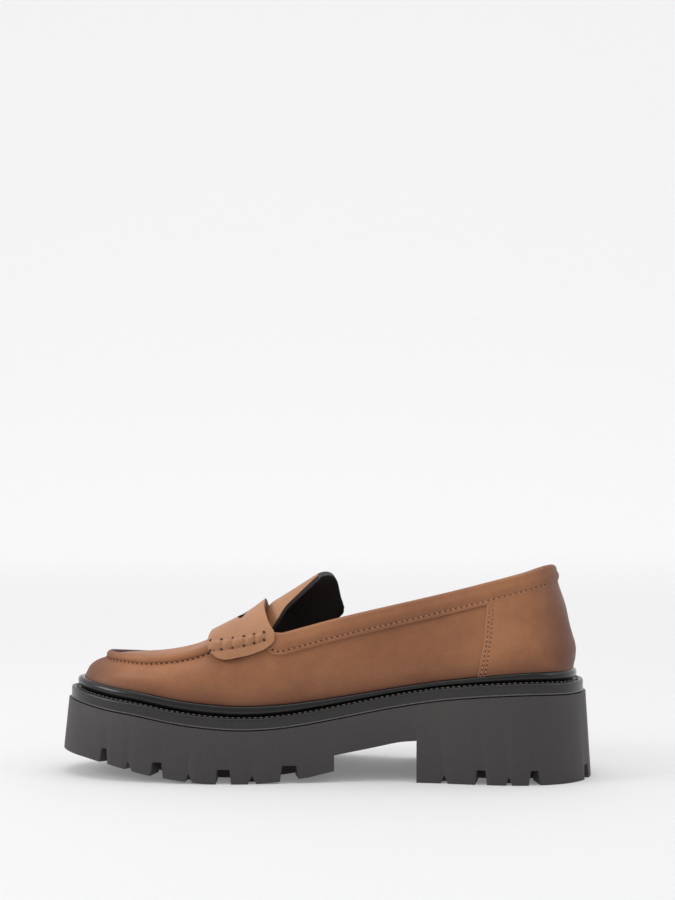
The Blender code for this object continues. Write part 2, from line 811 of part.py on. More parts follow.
def make_tongue():
    """The tab that stands up behind the strap, one curved sheet."""
    crest = smooth_path([(along(row.along), row.height * INSTEP_RISE) for row in TONGUE], 2)
    reach = smooth_path([(row.medial * BALL_WIDTH, row.lateral * BALL_WIDTH) for row in TONGUE], 2)
    slope = (crest[-1] - crest[0]) / np.linalg.norm(crest[-1] - crest[0])
    rings = []
    for (x, z), (near, far) in zip(crest, reach):
        ring = []
        for offset in np.linspace(-near, far, TONGUE_STEPS):
            bent = min(abs(offset), TONGUE_BEND)
            drop = TONGUE_RADIUS - math.sqrt(max(TONGUE_RADIUS**2 - bent**2, 0))
            drop += (abs(offset) - bent) * TONGUE_FALL
            ring.append((x + slope[1] * drop, float(crest_side(x)) + offset, z - slope[0] * drop))
        rings.append(ring)
    tongue = loft("tongue", rings, "lining", SHOE, False, False)
    solid = tongue.modifiers.new("Wall", "SOLIDIFY")
    solid.thickness = TONGUE_THICKNESS
    solid.offset = -1.0
    return tongue


def make_collar_band():
    """The padded band along the topline, behind the strap."""
    band = last_skin("collar_band", CLEARANCE, COLLAR_BAND_THICKNESS, "upper_leather")
    top = side_outline(TOPLINE, BACK_HEIGHT, HEEL_LEDGE)
    low = top - np.array([0.0, COLLAR_BAND_HEIGHT])
    outline = [*map(tuple, top), *map(tuple, low[::-1])]
    boolean(band, "INTERSECT", side_prism("band_outline", outline, COLLAR_TILT))
    keep_off = grow(strap_outline(), CLEARANCE)
    boolean(band, "DIFFERENCE", side_prism("band_front", keep_off))
    return band


def make_counter():
    """The overlay round the heel, from the bead to the collar band."""
    counter = last_skin("heel_counter", CLEARANCE, COUNTER_THICKNESS, "upper_leather")
    front = side_outline(COUNTER_FRONT, BACK_HEIGHT, HEEL_LEDGE)
    seat = lambda x: float(ledge_top(x)) + float(bead_rise(x)) + 2 * CLEARANCE
    front = [(x, z) for x, z in front if z > seat(x)]
    low = [(x, seat(x)) for x, _, _ in stations(FEATHER) if x > front[-1][0]]
    rear = low[-1][0] + WELT_WIDTH
    outline = [*front, *low, (rear, low[-1][1]), (rear, front[0][1])]
    boolean(counter, "INTERSECT", side_prism("counter_outline", outline))
    over = topline_outline(COLLAR_BAND_HEIGHT + CLEARANCE)
    return boolean(counter, "DIFFERENCE", side_prism("counter_top", over, COLLAR_TILT))


clear_scene()
SHOE = bpy.data.collections.new("lug_sole_loafer")
CUTTERS = bpy.data.collections.new("cutters")
LUG_CUTTERS = bpy.data.collections.new("lug_cutters")
for made in (SHOE, CUTTERS, LUG_CUTTERS):
    bpy.context.scene.collection.children.link(made)

FEATHER = WALL_FLARE + BAND_STEP + WELT_WIDTH
HEEL_LEDGE = float(ledge_top(along(1.0)))
crest_side = table_of(CREST, "across", BALL_WIDTH)
crest_height = table_of(CREST, "height", INSTEP_RISE)
medial_square = table_of(SECTIONS, "medial", 1.0)
lateral_square = table_of(SECTIONS, "lateral", 1.0)
section_swell = table_of(SECTIONS, "swell", BALL_WIDTH)
BACK_PATH = smooth_path([(row.rise, row.lean) for row in BACK])
back_lean = lambda share: np.interp(share, BACK_PATH[:, 0], BACK_PATH[:, 1])

make_outsole()
make_band()
make_bead()
make_insole()
make_upper()
make_apron()
make_strap()
make_rolls()
make_tongue()
make_collar_band()
make_counter()
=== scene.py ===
# %% [markdown]
# # Chunky lug sole loafer
#
# One right shoe, seen from its inner side. The toe points to -X, the medial side is -Y, +Z is up.
# Each piece is laid on the last: a grid of stations from toe to heel, and of steps up each rib.
# A piece is first drawn in side view or in plan, and then finds its place on that grid.

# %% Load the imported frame
import math
from collections import namedtuple

import bmesh
import bpy
import numpy as np
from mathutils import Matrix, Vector


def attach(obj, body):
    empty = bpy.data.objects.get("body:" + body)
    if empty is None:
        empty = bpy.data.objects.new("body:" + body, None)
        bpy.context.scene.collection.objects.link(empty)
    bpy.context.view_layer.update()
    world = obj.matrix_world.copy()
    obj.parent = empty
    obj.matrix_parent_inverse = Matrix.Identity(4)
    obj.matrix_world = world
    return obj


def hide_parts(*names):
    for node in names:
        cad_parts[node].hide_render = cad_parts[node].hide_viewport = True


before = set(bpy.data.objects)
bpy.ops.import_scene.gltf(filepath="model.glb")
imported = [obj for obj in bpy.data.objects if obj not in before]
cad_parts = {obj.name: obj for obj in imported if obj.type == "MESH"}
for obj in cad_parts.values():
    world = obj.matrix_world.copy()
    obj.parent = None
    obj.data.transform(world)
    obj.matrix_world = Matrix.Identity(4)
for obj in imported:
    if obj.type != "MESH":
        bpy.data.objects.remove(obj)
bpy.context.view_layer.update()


# %% [markdown]
# ## The shoe's sizes
#
# These are the sizes and tables of the solid model. The grid here is finer.

# %% Sizes and tables
# Driving dimensions
SOLE_LENGTH = 0.2714
BALL_WIDTH = 0.100
LEDGE_HEIGHT = 0.050
BAND_HEIGHT = 0.0058
WALL_FLARE = 0.0027
BAND_STEP = 0.0013
WELT_WIDTH = 0.0059
BEAD_HEIGHT = 0.0054
HEEL_SKEW = 0.0050
BEAD_WIDTH = 0.0024
SWELL_START = 1.5
TOE_REACH = 0.0170
TOE_FAN = 0.0500
UPPER_WALL = 0.0022
BACK_HEIGHT = 0.0575
BACK_LEAN = 0.0102
INSTEP_RISE = 0.0950
APRON_LIP = 0.0028
STRAP_THICKNESS = 0.0013
TONGUE_THICKNESS = 0.0024
TONGUE_RADIUS = 0.0290
TONGUE_BEND = 0.0280
TONGUE_FALL = 2.0
COLLAR_BAND_HEIGHT = 0.0114
COUNTER_THICKNESS = 0.0013
COLLAR_TILT = math.radians(5.2)
GROOVE_DEPTH = 0.0072
NOTCH_DEPTH = 0.0040
CHANNEL_WIDTH = 0.0055
EDGE_LUG_WIDTH = 0.0150
CLEARANCE = 0.0003

# Mesh resolution
STATIONS = 110
RIB_STEPS = 28
SPLINE_STEPS = 24
MERGE = 1e-5

# Places along the sole, as shares of its length from the toe
FOREFOOT_END = 0.516
HEEL_BREAST = 0.675
FLAT_START = 0.285
FLAT_END = 0.365

# The plan of the sole's bottom edge: shares of its length, and of the ball width from the toe-heel line
Plan = namedtuple("Plan", "along medial lateral")
PLAN = [
    Plan(0.000, -0.010, -0.010), Plan(0.022, -0.190, 0.160), Plan(0.075, -0.325, 0.285),
    Plan(0.150, -0.415, 0.385), Plan(0.250, -0.470, 0.465), Plan(0.335, -0.484, 0.508),
    Plan(0.420, -0.465, 0.517), Plan(0.510, -0.432, 0.488), Plan(0.600, -0.418, 0.415),
    Plan(0.690, -0.440, 0.330), Plan(0.770, -0.490, 0.265), Plan(0.850, -0.517, 0.235),
    Plan(0.915, -0.487, 0.205), Plan(0.960, -0.410, 0.128), Plan(0.989, -0.288, 0.008),
    Plan(1.000, -0.140, -0.140),
]

# The sole from the side: shares of the length, and of the ledge height at the heel
Side = namedtuple("Side", "along height")
BOTTOM = [
    Side(0.000, 0.240), Side(0.050, 0.208), Side(0.100, 0.160), Side(0.170, 0.076), Side(0.235, 0.026),
    Side(FLAT_START, 0.000), Side(FLAT_END, 0.000), Side(0.420, 0.022), Side(0.470, 0.058),
    Side(FOREFOOT_END, 0.114), Side(0.560, 0.114), Side(0.600, 0.000), Side(1.000, 0.000),
]
LEDGE = [
    Side(0.000, 0.888), Side(0.030, 0.866), Side(0.060, 0.836), Side(0.100, 0.800), Side(0.150, 0.764),
    Side(0.240, 0.680), Side(0.340, 0.636), Side(0.415, 0.652), Side(0.485, 0.704), Side(0.540, 0.758),
    Side(0.640, 0.862), Side(0.740, 0.944), Side(0.860, 0.992), Side(1.000, 0.978),
]
ARCH = [
    Side(FOREFOOT_END, 0.268), Side(0.590, 0.344), Side(0.640, 0.396), Side(HEEL_BREAST, 0.412),
]

# How much of its full height the bead shows, where the leather rolls over it
BEAD = [
    Side(0.000, 1.00), Side(0.400, 1.00), Side(0.500, 0.84), Side(0.600, 0.66), Side(0.740, 0.66),
    Side(0.860, 0.88), Side(1.000, 1.00),
]

# The last's crest: shares of the sole length, of the ball width, and of the instep rise over the floor
Crest = namedtuple("Crest", "along across height")
CREST = [
    Crest(0.100, -0.030, 0.620), Crest(0.150, -0.045, 0.632), Crest(0.190, -0.060, 0.638),
    Crest(0.230, -0.065, 0.656), Crest(0.262, -0.065, 0.680), Crest(0.290, -0.063, 0.718),
    Crest(0.320, -0.060, 0.768), Crest(0.355, -0.057, 0.832), Crest(0.390, -0.055, 0.904),
    Crest(0.440, -0.055, 0.990), Crest(0.485, -0.058, 1.068), Crest(0.560, -0.070, 1.200),
    Crest(0.660, -0.100, 1.330), Crest(1.000, -0.140, 1.400),
]

# How square the last's sections are, and how far their sides swell, as shares of the ball width
Section = namedtuple("Section", "along medial lateral swell")
SECTIONS = [
    Section(0.05, 2.1, 2.1, 0.006), Section(0.12, 2.5, 2.1, 0.014), Section(0.22, 3.0, 2.2, 0.026),
    Section(0.34, 2.7, 2.2, 0.034), Section(0.45, 2.5, 2.3, 0.024), Section(0.60, 2.5, 2.4, 0.012),
    Section(1.00, 2.5, 2.4, 0.000),
]

# The back seam from the side: shares of the back's height, and of its lean towards the ankle
Back = namedtuple("Back", "rise lean")
BACK = [
    Back(0.00, 0.00), Back(0.10, 0.00), Back(0.17, -0.09), Back(0.26, -0.13), Back(0.36, 0.02),
    Back(0.50, 0.24), Back(0.62, 0.38), Back(0.74, 0.60), Back(0.84, 0.79), Back(1.00, 1.00),
    Back(1.25, 1.30),
]
ARCHES_END = 0.355
WALLS_START = 0.680

# The topline from the side: shares of the sole length, and of the back's height over the heel ledge
TOPLINE = [
    Side(1.040, 1.000), Side(0.925, 0.985), Side(0.880, 0.920), Side(0.815, 0.838), Side(0.735, 0.742),
    Side(0.656, 0.655), Side(0.577, 0.570), Side(0.507, 0.490), Side(0.443, 0.408), Side(0.412, 0.377),
    Side(0.391, 0.425), Side(0.378, 0.580),
]
COUNTER_FRONT = [
    Side(0.803, 1.000), Side(0.799, 0.675), Side(0.796, 0.530), Side(0.792, 0.355), Side(0.785, 0.195),
    Side(0.7745, -0.100),
]

# The apron in plan
APRON = [
    Plan(0.085, -0.030, -0.030), Plan(0.092, -0.085, 0.035), Plan(0.114, -0.150, 0.100),
    Plan(0.157, -0.232, 0.178), Plan(0.198, -0.266, 0.222), Plan(0.240, -0.280, 0.248),
    Plan(0.280, -0.288, 0.262), Plan(0.318, -0.292, 0.268),
]

# The strap from the side: shares of the sole length, and of the instep rise
STRAP = [
    Side(0.279, 0.760), Side(0.281, 0.703), Side(0.292, 0.664), Side(0.303, 0.645), Side(0.318, 0.641),
    Side(0.341, 0.652), Side(0.369, 0.672), Side(0.388, 0.694), Side(0.402, 0.723), Side(0.407, 0.749),
    Side(0.405, 0.785), Side(0.396, 0.822), Side(0.389, 0.868), Side(0.384, 0.920), Side(0.382, 1.250),
]
STRAP_REAR_SHARE = 0.55

# The tongue by its crest line, with how far it reaches to each side of it
Tongue = namedtuple("Tongue", "along height medial lateral")
TONGUE = [
    Tongue(0.330, 0.742, 0.200, 0.250), Tongue(0.360, 0.796, 0.200, 0.260),
    Tongue(0.378, 0.842, 0.200, 0.270), Tongue(0.397, 0.910, 0.190, 0.285),
    Tongue(0.416, 0.945, 0.154, 0.298), Tongue(0.440, 0.988, 0.126, 0.305),
    Tongue(0.462, 1.028, 0.096, 0.305), Tongue(0.477, 1.055, 0.068, 0.300),
    Tongue(0.484, 1.067, 0.052, 0.288),
]

# The slit in the strap
SLIT_ALONG = 0.3415
SLIT_LENGTH = 0.0220
SLIT_WIDTH = 0.0050
SLIT_STEPS = 20
SLIT_BLUNTNESS = 0.3

# The lug openings along each edge: share of the length, width at the floor and at the top
Groove = namedtuple("Groove", "along foot head")
GROOVES = [
    Groove(0.090, 0.0050, 0.0030), Groove(0.192, 0.0066, 0.0047), Groove(0.3135, 0.0078, 0.0062),
    Groove(0.436, 0.0094, 0.0071), Groove(0.785, 0.0059, 0.0043), Groove(0.882, 0.0061, 0.0038),
]
NOTCHES = [
    Groove(0.138, 0.0040, 0.0002), Groove(0.250, 0.0036, 0.0002), Groove(0.3685, 0.0044, 0.0002),
    Groove(0.717, 0.0038, 0.0002), Groove(0.833, 0.0030, 0.0002),
]
TOE_SLOT = Groove(0.0, 0.0050, 0.0036)
HEEL_SLOTS = Groove(0.985, 0.0070, 0.0050)
CROSS_CHANNELS = [0.138, 0.250, 0.373, 0.470, 0.716, 0.830, 0.920]
CROSS_WIDTH = 0.0050
CROSS_SHARE = 0.94


# %% [markdown]
# ## The last
#
# RIBS holds the last's points by side, station and rib step, and NORMALS the way out of it.

# %% Curves and outlines
def along(share):
    """The x of a share of the sole's length from the toe."""
    return (share - 0.5) * SOLE_LENGTH


def smooth_path(points, steps=SPLINE_STEPS):
    """A centripetal Catmull-Rom curve through the points, as an array."""
    points = np.asarray(points, float)
    closed = np.allclose(points[0], points[-1])
    before = points[-2] if closed else 2 * points[0] - points[1]
    after = points[1] if closed else 2 * points[-1] - points[-2]
    padded = np.vstack([before, points, after])
    path = []
    for row in range(1, len(padded) - 2):
        quad = padded[row - 1 : row + 3]
        knots = [0.0]
        for here, there in zip(quad, quad[1:]):
            knots.append(knots[-1] + max(np.linalg.norm(there - here), 1e-9) ** 0.5)
        for t in np.linspace(knots[1], knots[2], steps, endpoint=False):
            path.append(spline_point(quad, knots, t))
    path.append(points[-1])
    return np.array(path)


def spline_point(quad, knots, t):
    """One point of the Catmull-Rom curve, by the pyramid of blends."""
    level = list(quad)
    for span in (1, 2, 3):
        blended = []
        for start in range(len(level) - 1):
            low = knots[1] if span == 3 else knots[start]
            high = knots[2] if span == 3 else knots[start + span]
            share = (t - low) / (high - low)
            blended.append(level[start] * (1 - share) + level[start + 1] * share)
        level = blended
    return level[0]


def height_line(rows, unit):
    """A function of x that gives the smooth height of a side table."""
    path = smooth_path([(along(row.along), row.height * unit) for row in rows])
    return lambda x: np.interp(x, path[:, 0], path[:, 1])


def straight_line(rows, unit):
    """A function of x that gives the height of a side table with straight stretches."""
    xs = [along(row.along) for row in rows]
    zs = [row.height * unit for row in rows]
    return lambda x: np.interp(x, xs, zs)


sole_bottom = straight_line(BOTTOM, LEDGE_HEIGHT)
ledge_top = height_line(LEDGE, LEDGE_HEIGHT)
bead_rise = height_line(BEAD, BEAD_HEIGHT)


def table_of(rows, column, unit):
    """A function of x that gives one column of a table, by the share along."""
    path = smooth_path([(along(row.along), getattr(row, column) * unit) for row in rows])
    return lambda x: np.interp(x, path[:, 0], path[:, 1])


def plan_loop():
    """The sole's bottom edge from the heel's tip, by the medial side and the toe, back to it."""
    medial = [(along(row.along), row.medial * BALL_WIDTH) for row in PLAN]
    lateral = [(along(row.along), row.lateral * BALL_WIDTH) for row in PLAN]
    return smooth_path(medial[::-1] + lateral[1:])[:-1]


def inset_sides(inset):
    """The sole's medial and lateral edges from toe to heel, moved inwards by the inset."""
    loop = plan_loop()
    ahead = np.roll(loop, -1, axis=0) - np.roll(loop, 1, axis=0)
    ahead /= np.linalg.norm(ahead, axis=1)[:, None]
    inward = np.stack([ahead[:, 1], -ahead[:, 0]], axis=1)
    moved = loop + inset * inward
    moved = np.roll(moved, -int(np.argmax(moved[:, 0])), axis=0)
    toe = int(np.argmin(moved[:, 0]))
    return moved[: toe + 1][::-1], np.vstack([moved[toe:], moved[:1]])


def stations(inset, count=STATIONS):
    """Rows of x, medial y and lateral y from toe to heel, close together at both ends."""
    medial, lateral = inset_sides(inset)
    angles = np.linspace(0, math.pi, count + 1)
    toe, heel = medial[0, 0], medial[-1, 0]
    xs = toe + (heel - toe) * (1 - np.cos(angles)) / 2
    near = np.interp(xs, medial[:, 0], medial[:, 1])
    far = np.interp(xs, lateral[:, 0], lateral[:, 1])
    return np.stack([xs, near, far], axis=1)


def side_outline(rows, unit, base=0.0):
    """The smooth outline of a side table, closed by a straight line."""
    return smooth_path([(along(row.along), base + row.height * unit) for row in rows], 4)


def grow(outline, amount):
    """A closed outline moved outwards by the amount."""
    points = np.asarray(outline, float)
    ahead = np.roll(points, -1, axis=0) - np.roll(points, 1, axis=0)
    ahead /= np.linalg.norm(ahead, axis=1)[:, None]
    outward = np.stack([ahead[:, 1], -ahead[:, 0]], axis=1)
    area = np.cross(points, np.roll(points, -1, axis=0)).sum()
    return points + outward * amount * math.copysign(1, area)


def plan_outline(rows):
    """The closed smooth outline of a plan table."""
    medial = [(along(row.along), row.medial * BALL_WIDTH) for row in rows]
    lateral = [(along(row.along), row.lateral * BALL_WIDTH) for row in rows]
    return smooth_path(medial[::-1] + lateral[1:], 5)


def loop_at(inset):
    """The sole's outline at an inset, as one closed row of points."""
    rows = stations(inset)
    near = [(x, y) for x, y, _ in rows]
    far = [(x, y) for x, _, y in rows[1:-1]]
    return near + far[::-1]


def edge_frame(share, side):
    """The point of the sole's bottom edge at that share, with the direction inwards."""
    near, far = inset_sides(0.0)
    edge = near if side < 0 else far
    index = int(np.argmin(np.abs(edge[:, 0] - along(share))))
    index = min(max(index, 2), len(edge) - 3)
    ahead = edge[index + 2] - edge[index - 2]
    ahead /= np.linalg.norm(ahead)
    return edge[index], np.array([-ahead[1], ahead[0]]) * -side


def link_shape(name, shape):
    """Links a new object that holds a bmesh, and frees the bmesh."""
    mesh = bpy.data.meshes.new(name)
    shape.to_mesh(mesh)
    shape.free()
    obj = bpy.data.objects.new(name, mesh)
    bpy.context.scene.collection.objects.link(obj)
    return obj


def loft(name, rings, ring_closed, ends_closed):
    """A closed skin over rings of equally many points, with doubles merged."""
    shape = bmesh.new()
    grid = [[shape.verts.new(Vector(point)) for point in ring] for ring in rings]
    count = len(grid[0])
    for here, there in zip(grid, grid[1:]):
        for index in range(count if ring_closed else count - 1):
            following = (index + 1) % count
            shape.faces.new([here[index], here[following], there[following], there[index]])
    if ends_closed:
        shape.faces.new(grid[0][::-1])
        shape.faces.new(grid[-1])
    bmesh.ops.remove_doubles(shape, verts=shape.verts, dist=MERGE)
    bmesh.ops.dissolve_degenerate(shape, edges=shape.edges, dist=MERGE / 10)
    bmesh.ops.recalc_face_normals(shape, faces=shape.faces)
    return link_shape(name, shape)


def slab(name, low, high, low_inset, high_inset):
    """A layer of the sole between two heights, with its own inset at each."""
    rings = []
    for under, over in zip(stations(low_inset), stations(high_inset)):
        (x0, near0, far0), (x1, near1, far1) = under, over
        rings.append(
            [
                (x0, near0, low(x0)),
                (x1, near1, high(x1)),
                (x1, far1, high(x1)),
                (x0, far0, low(x0)),
            ]
        )
    return loft(name, rings, True, False)


def groove_cutter(groove, point, inwards, depth, reach):
    """A wedge that opens a slot through the edge, narrower at its head."""
    across = np.array([-inwards[1], inwards[0]])
    base = float(sole_bottom(point[0]))
    spread = (groove.foot - groove.head) * 0.5
    rings = []
    for distance in (-NOTCH_DEPTH, reach):
        middle = point + inwards * distance
        corners = [
            (-groove.foot / 2 - spread, -depth),
            (groove.foot / 2 + spread, -depth),
            (groove.head / 2, depth),
            (-groove.head / 2, depth),
        ]
        rings.append([(*(middle + across * side), base + rise) for side, rise in corners])
    return loft("groove", rings, True, True)


def channel_cutter():
    """The channel inside the edge lugs, all round the sole."""
    outer = loop_at(EDGE_LUG_WIDTH)
    inner = loop_at(EDGE_LUG_WIDTH + CHANNEL_WIDTH)
    rings = []
    for (x0, y0), (x1, y1) in zip(outer, inner):
        top0 = float(sole_bottom(x0)) + GROOVE_DEPTH
        top1 = float(sole_bottom(x1)) + GROOVE_DEPTH
        floor = -GROOVE_DEPTH
        rings.append([(x0, y0, floor), (x0, y0, top0), (x1, y1, top1), (x1, y1, floor)])
    rings.append(rings[0])
    return loft("tread_channel", rings, True, False)


def cross_cutter(share):
    """A straight channel across the tread, between the sides of the ring channel."""
    x = along(share)
    rows = stations(EDGE_LUG_WIDTH + CHANNEL_WIDTH / 2)
    near = float(np.interp(x, rows[:, 0], rows[:, 1]))
    far = float(np.interp(x, rows[:, 0], rows[:, 2]))
    top = float(sole_bottom(x)) + GROOVE_DEPTH * CROSS_SHARE
    half = CROSS_WIDTH / 2
    corners = [(x - half, -GROOVE_DEPTH), (x + half, -GROOVE_DEPTH), (x + half, top), (x - half, top)]
    rings = [[(cx, y, cz) for cx, cz in corners] for y in (near, far)]
    return loft("cross_channel", rings, True, True)


def smooth_step(low, high, value):
    """Goes from 0 to 1 between two values, without a corner."""
    share = min(max((value - low) / (high - low), 0.0), 1.0)
    return share * share * (3 - 2 * share)

# %% The last as a grid
FEATHER = WALL_FLARE + BAND_STEP + WELT_WIDTH
TOE_X = float(stations(FEATHER)[0][0])
HEEL_LEDGE = float(ledge_top(along(1.0)))
crest_side = table_of(CREST, "across", BALL_WIDTH)
crest_height = table_of(CREST, "height", INSTEP_RISE)
medial_square = table_of(SECTIONS, "medial", 1.0)
lateral_square = table_of(SECTIONS, "lateral", 1.0)
section_swell = table_of(SECTIONS, "swell", BALL_WIDTH)
BACK_PATH = smooth_path([(row.rise, row.lean) for row in BACK])
back_lean = lambda share: np.interp(share, BACK_PATH[:, 0], BACK_PATH[:, 1])


def arch_rib(foot, squareness, swell):
    """A rib of the vamp, from the feather edge up and over to the crest."""
    x, y, out = foot
    crest_x = x + TOE_REACH * (1 - smooth_step(TOE_X, TOE_X + TOE_FAN, x))
    start = np.array([x, y, float(ledge_top(x)) + CLEARANCE])
    crest = np.array([crest_x, float(crest_side(crest_x)), float(crest_height(crest_x))])
    points = []
    for angle in np.linspace(0, math.pi / 2, RIB_STEPS + 1):
        across = 1 - math.cos(angle) ** (2 / squareness) if angle < math.pi / 2 else 1.0
        rise = math.sin(angle) ** (2 / squareness)
        point = start + (crest - start) * np.array([across, across, rise])
        straight = SWELL_START * float(bead_rise(x))
        above = (point[2] - start[2] - straight) / (crest[2] - start[2] - straight)
        bulge = swell * math.sin(math.pi * max(above, 0.0)) if above < 1 else 0.0
        points.append(point + np.array([*(out * bulge), 0.0]))
    return np.array(points)


def wall_rib(foot):
    """A rib of the quarter or heel, from the feather edge up past the topline."""
    x, y, out = foot
    base = float(ledge_top(x)) + CLEARANCE
    points = []
    for share in np.linspace(0, BACK[-1].rise, RIB_STEPS + 1):
        lean = float(back_lean(share)) * BACK_LEAN
        points.append((x - out[0] * lean, y - out[1] * lean, base + share * BACK_HEIGHT))
    return np.array(points)


def last_grid():
    """The last's points, as two arrays of stations by rib steps, medial and lateral."""
    outer = stations(FEATHER - CLEARANCE)
    sides = [[], []]
    for (x, near, far), (x1, near1, far1) in zip(stations(FEATHER), outer):
        walls = smooth_step(along(ARCHES_END), along(WALLS_START), x)
        squares = (float(medial_square(x)), float(lateral_square(x)))
        for side, (y, y_out) in enumerate(((near, near1), (far, far1))):
            out = np.array([x1 - x, y_out - y])
            out /= max(np.linalg.norm(out), 1e-9)
            rib = arch_rib((x, y, out), squares[side], float(section_swell(x)))
            if walls > 0:
                rib = rib * (1 - walls) + wall_rib((x, y, out)) * walls
            sides[side].append(rib)
    return np.array(sides)


def grid_normals(ribs):
    """The unit normals out of the last, shared where its two sides meet."""
    normals = []
    for side, grid in enumerate(ribs):
        along_it = np.gradient(grid, axis=0)
        up_it = np.gradient(grid, axis=1)
        normals.append(np.cross(along_it, up_it) * (1, -1)[side])
    normals = np.array(normals)
    closed = np.linalg.norm(ribs[0, :, -1] - ribs[1, :, -1], axis=1) < 1e-4
    shared = normals[0, closed, -1] + normals[1, closed, -1]
    normals[:, closed, -1] = shared
    for end in (0, -1):
        normals[:, end] = (normals[0, end] + normals[1, end])[None]
    return normals / np.maximum(np.linalg.norm(normals, axis=-1, keepdims=True), 1e-12)


RIBS = last_grid()
NORMALS = grid_normals(RIBS)
MEDIAL, LATERAL = 0, 1


def sample(grid, s, k):
    """A grid's value between its stations and rib steps."""
    s = np.clip(np.asarray(s, float), 0, STATIONS)
    k = np.clip(np.asarray(k, float), 0, RIB_STEPS)
    i = np.minimum(s.astype(int), STATIONS - 1)
    j = np.minimum(k.astype(int), RIB_STEPS - 1)
    a = (s - i)[..., None]
    b = (k - j)[..., None]
    low = grid[i, j] * (1 - a) + grid[i + 1, j] * a
    high = grid[i, j + 1] * (1 - a) + grid[i + 1, j + 1] * a
    return low * (1 - b) + high * b


def on_last(side, s, k, lift=0.0):
    """Points on the last, lifted off it along its normals."""
    s, k = np.broadcast_arrays(np.asarray(s, float), np.asarray(k, float))
    return sample(RIBS[side], s, k) + sample(NORMALS[side], s, k) * np.asarray(lift)[..., None]


FINE_S, FINE_K = np.meshgrid(
    np.linspace(0, STATIONS, STATIONS * 5 + 1), np.linspace(0, RIB_STEPS, RIB_STEPS * 5 + 1), indexing="ij"
)
FINE = [on_last(side, FINE_S, FINE_K) for side in (MEDIAL, LATERAL)]


def find(side, places, axes, low_k, surface=FINE):
    """The station and rib step of each place given by two of its coordinates."""
    spots = surface[side][:, :, axes].reshape(-1, 2)
    allowed = (FINE_K >= low_k).reshape(-1)
    found = []
    for place in np.asarray(places, float):
        gap = ((spots - place) ** 2).sum(axis=1)
        gap[~allowed] = 1.0
        best = int(np.argmin(gap))
        found.append((FINE_S.reshape(-1)[best], FINE_K.reshape(-1)[best]))
    return np.array(found)


def distances(path):
    """How far along a path each of its points is."""
    return np.concatenate([[0], np.cumsum(np.linalg.norm(np.diff(path, axis=0), axis=1))])


def even(rows):
    """A row with the search's small steps smoothed out."""
    rows = np.asarray(rows, float).copy()
    for _ in range(2):
        rows[1:-1] = (rows[:-2] + 2 * rows[1:-1] + rows[2:]) / 4
    return rows


def crossing(side, s, line, tilt=0.0):
    """The rib step at which each station's rib rises over a line in side view."""
    lean = math.tan(tilt)
    ks = np.linspace(0, RIB_STEPS, 400)
    found = []
    for station in np.atleast_1d(s):
        points = on_last(side, np.full_like(ks, station), ks)
        over = points[:, 2] + points[:, 1] * lean - line(points[:, 0])
        hits = np.nonzero(over > 0)[0]
        if len(hits) == 0:
            found.append(float(RIB_STEPS))
            continue
        index = max(int(hits[0]), 1)
        share = over[index - 1] / (over[index - 1] - over[index])
        found.append(ks[index - 1] + share * (ks[index] - ks[index - 1]))
    return np.array(found)


def station_at(x):
    """The station of a place along the shoe, at the feather edge."""
    feet = RIBS[MEDIAL, :, 0, 0]
    return np.interp(x, feet, np.arange(STATIONS + 1))


# %% [markdown]
# ## Materials
#
# Each shared effect is a group that gives a colour, a roughness and a normal. The leather is a waxy
# pull-up hide: cloudy tan, darker and redder at the burnished toe and heel, darker just above the bead,
# and darkened on the quarter with painted shade.

# %% Node helpers
def new_group(name, inputs, outputs):
    """An empty shader group with those sockets."""
    group = bpy.data.node_groups.new(name, "ShaderNodeTree")
    for label, kind, value in inputs:
        socket = group.interface.new_socket(label, in_out="INPUT", socket_type=kind)
        socket.default_value = value
    for label, kind in outputs:
        group.interface.new_socket(label, in_out="OUTPUT", socket_type=kind)
    return group, group.nodes.new("NodeGroupInput"), group.nodes.new("NodeGroupOutput")


def noise(tree, vector, scale, detail=3.0, roughness=0.5):
    """A noise texture on object coordinates."""
    node = tree.nodes.new("ShaderNodeTexNoise")
    node.inputs["Scale"].default_value = scale
    node.inputs["Detail"].default_value = detail
    node.inputs["Roughness"].default_value = roughness
    tree.links.new(vector, node.inputs["Vector"])
    return node.outputs["Fac"]


def ramp(tree, value, low, high, to_low=0.0, to_high=1.0):
    """The value mapped from one range to another, without a corner."""
    node = tree.nodes.new("ShaderNodeMapRange")
    node.interpolation_type = "SMOOTHSTEP"
    for label, number in (("From Min", low), ("From Max", high), ("To Min", to_low), ("To Max", to_high)):
        node.inputs[label].default_value = number
    tree.links.new(value, node.inputs["Value"])
    return node.outputs["Result"]


def mix(tree, share, first, second, mode="MIX"):
    """A mix of two colours by a share, each a socket or a value."""
    node = tree.nodes.new("ShaderNodeMix")
    node.data_type = "RGBA"
    node.blend_type = mode
    sockets = {item.identifier: item for item in node.inputs}
    for key, value in (("Factor_Float", share), ("A_Color", first), ("B_Color", second)):
        if isinstance(value, bpy.types.NodeSocket):
            tree.links.new(value, sockets[key])
        elif key == "Factor_Float":
            sockets[key].default_value = value
        else:
            sockets[key].default_value = (*value, 1.0)
    return {item.identifier: item for item in node.outputs}["Result_Color"]


def bump(tree, height, strength, distance, normal=None):
    """A bump normal from a height."""
    node = tree.nodes.new("ShaderNodeBump")
    node.inputs["Strength"].default_value = strength
    node.inputs["Distance"].default_value = distance
    tree.links.new(height, node.inputs["Height"])
    if normal:
        tree.links.new(normal, node.inputs["Normal"])
    return node.outputs["Normal"]


def object_place(tree):
    """The object coordinates."""
    return tree.nodes.new("ShaderNodeTexCoord").outputs["Object"]

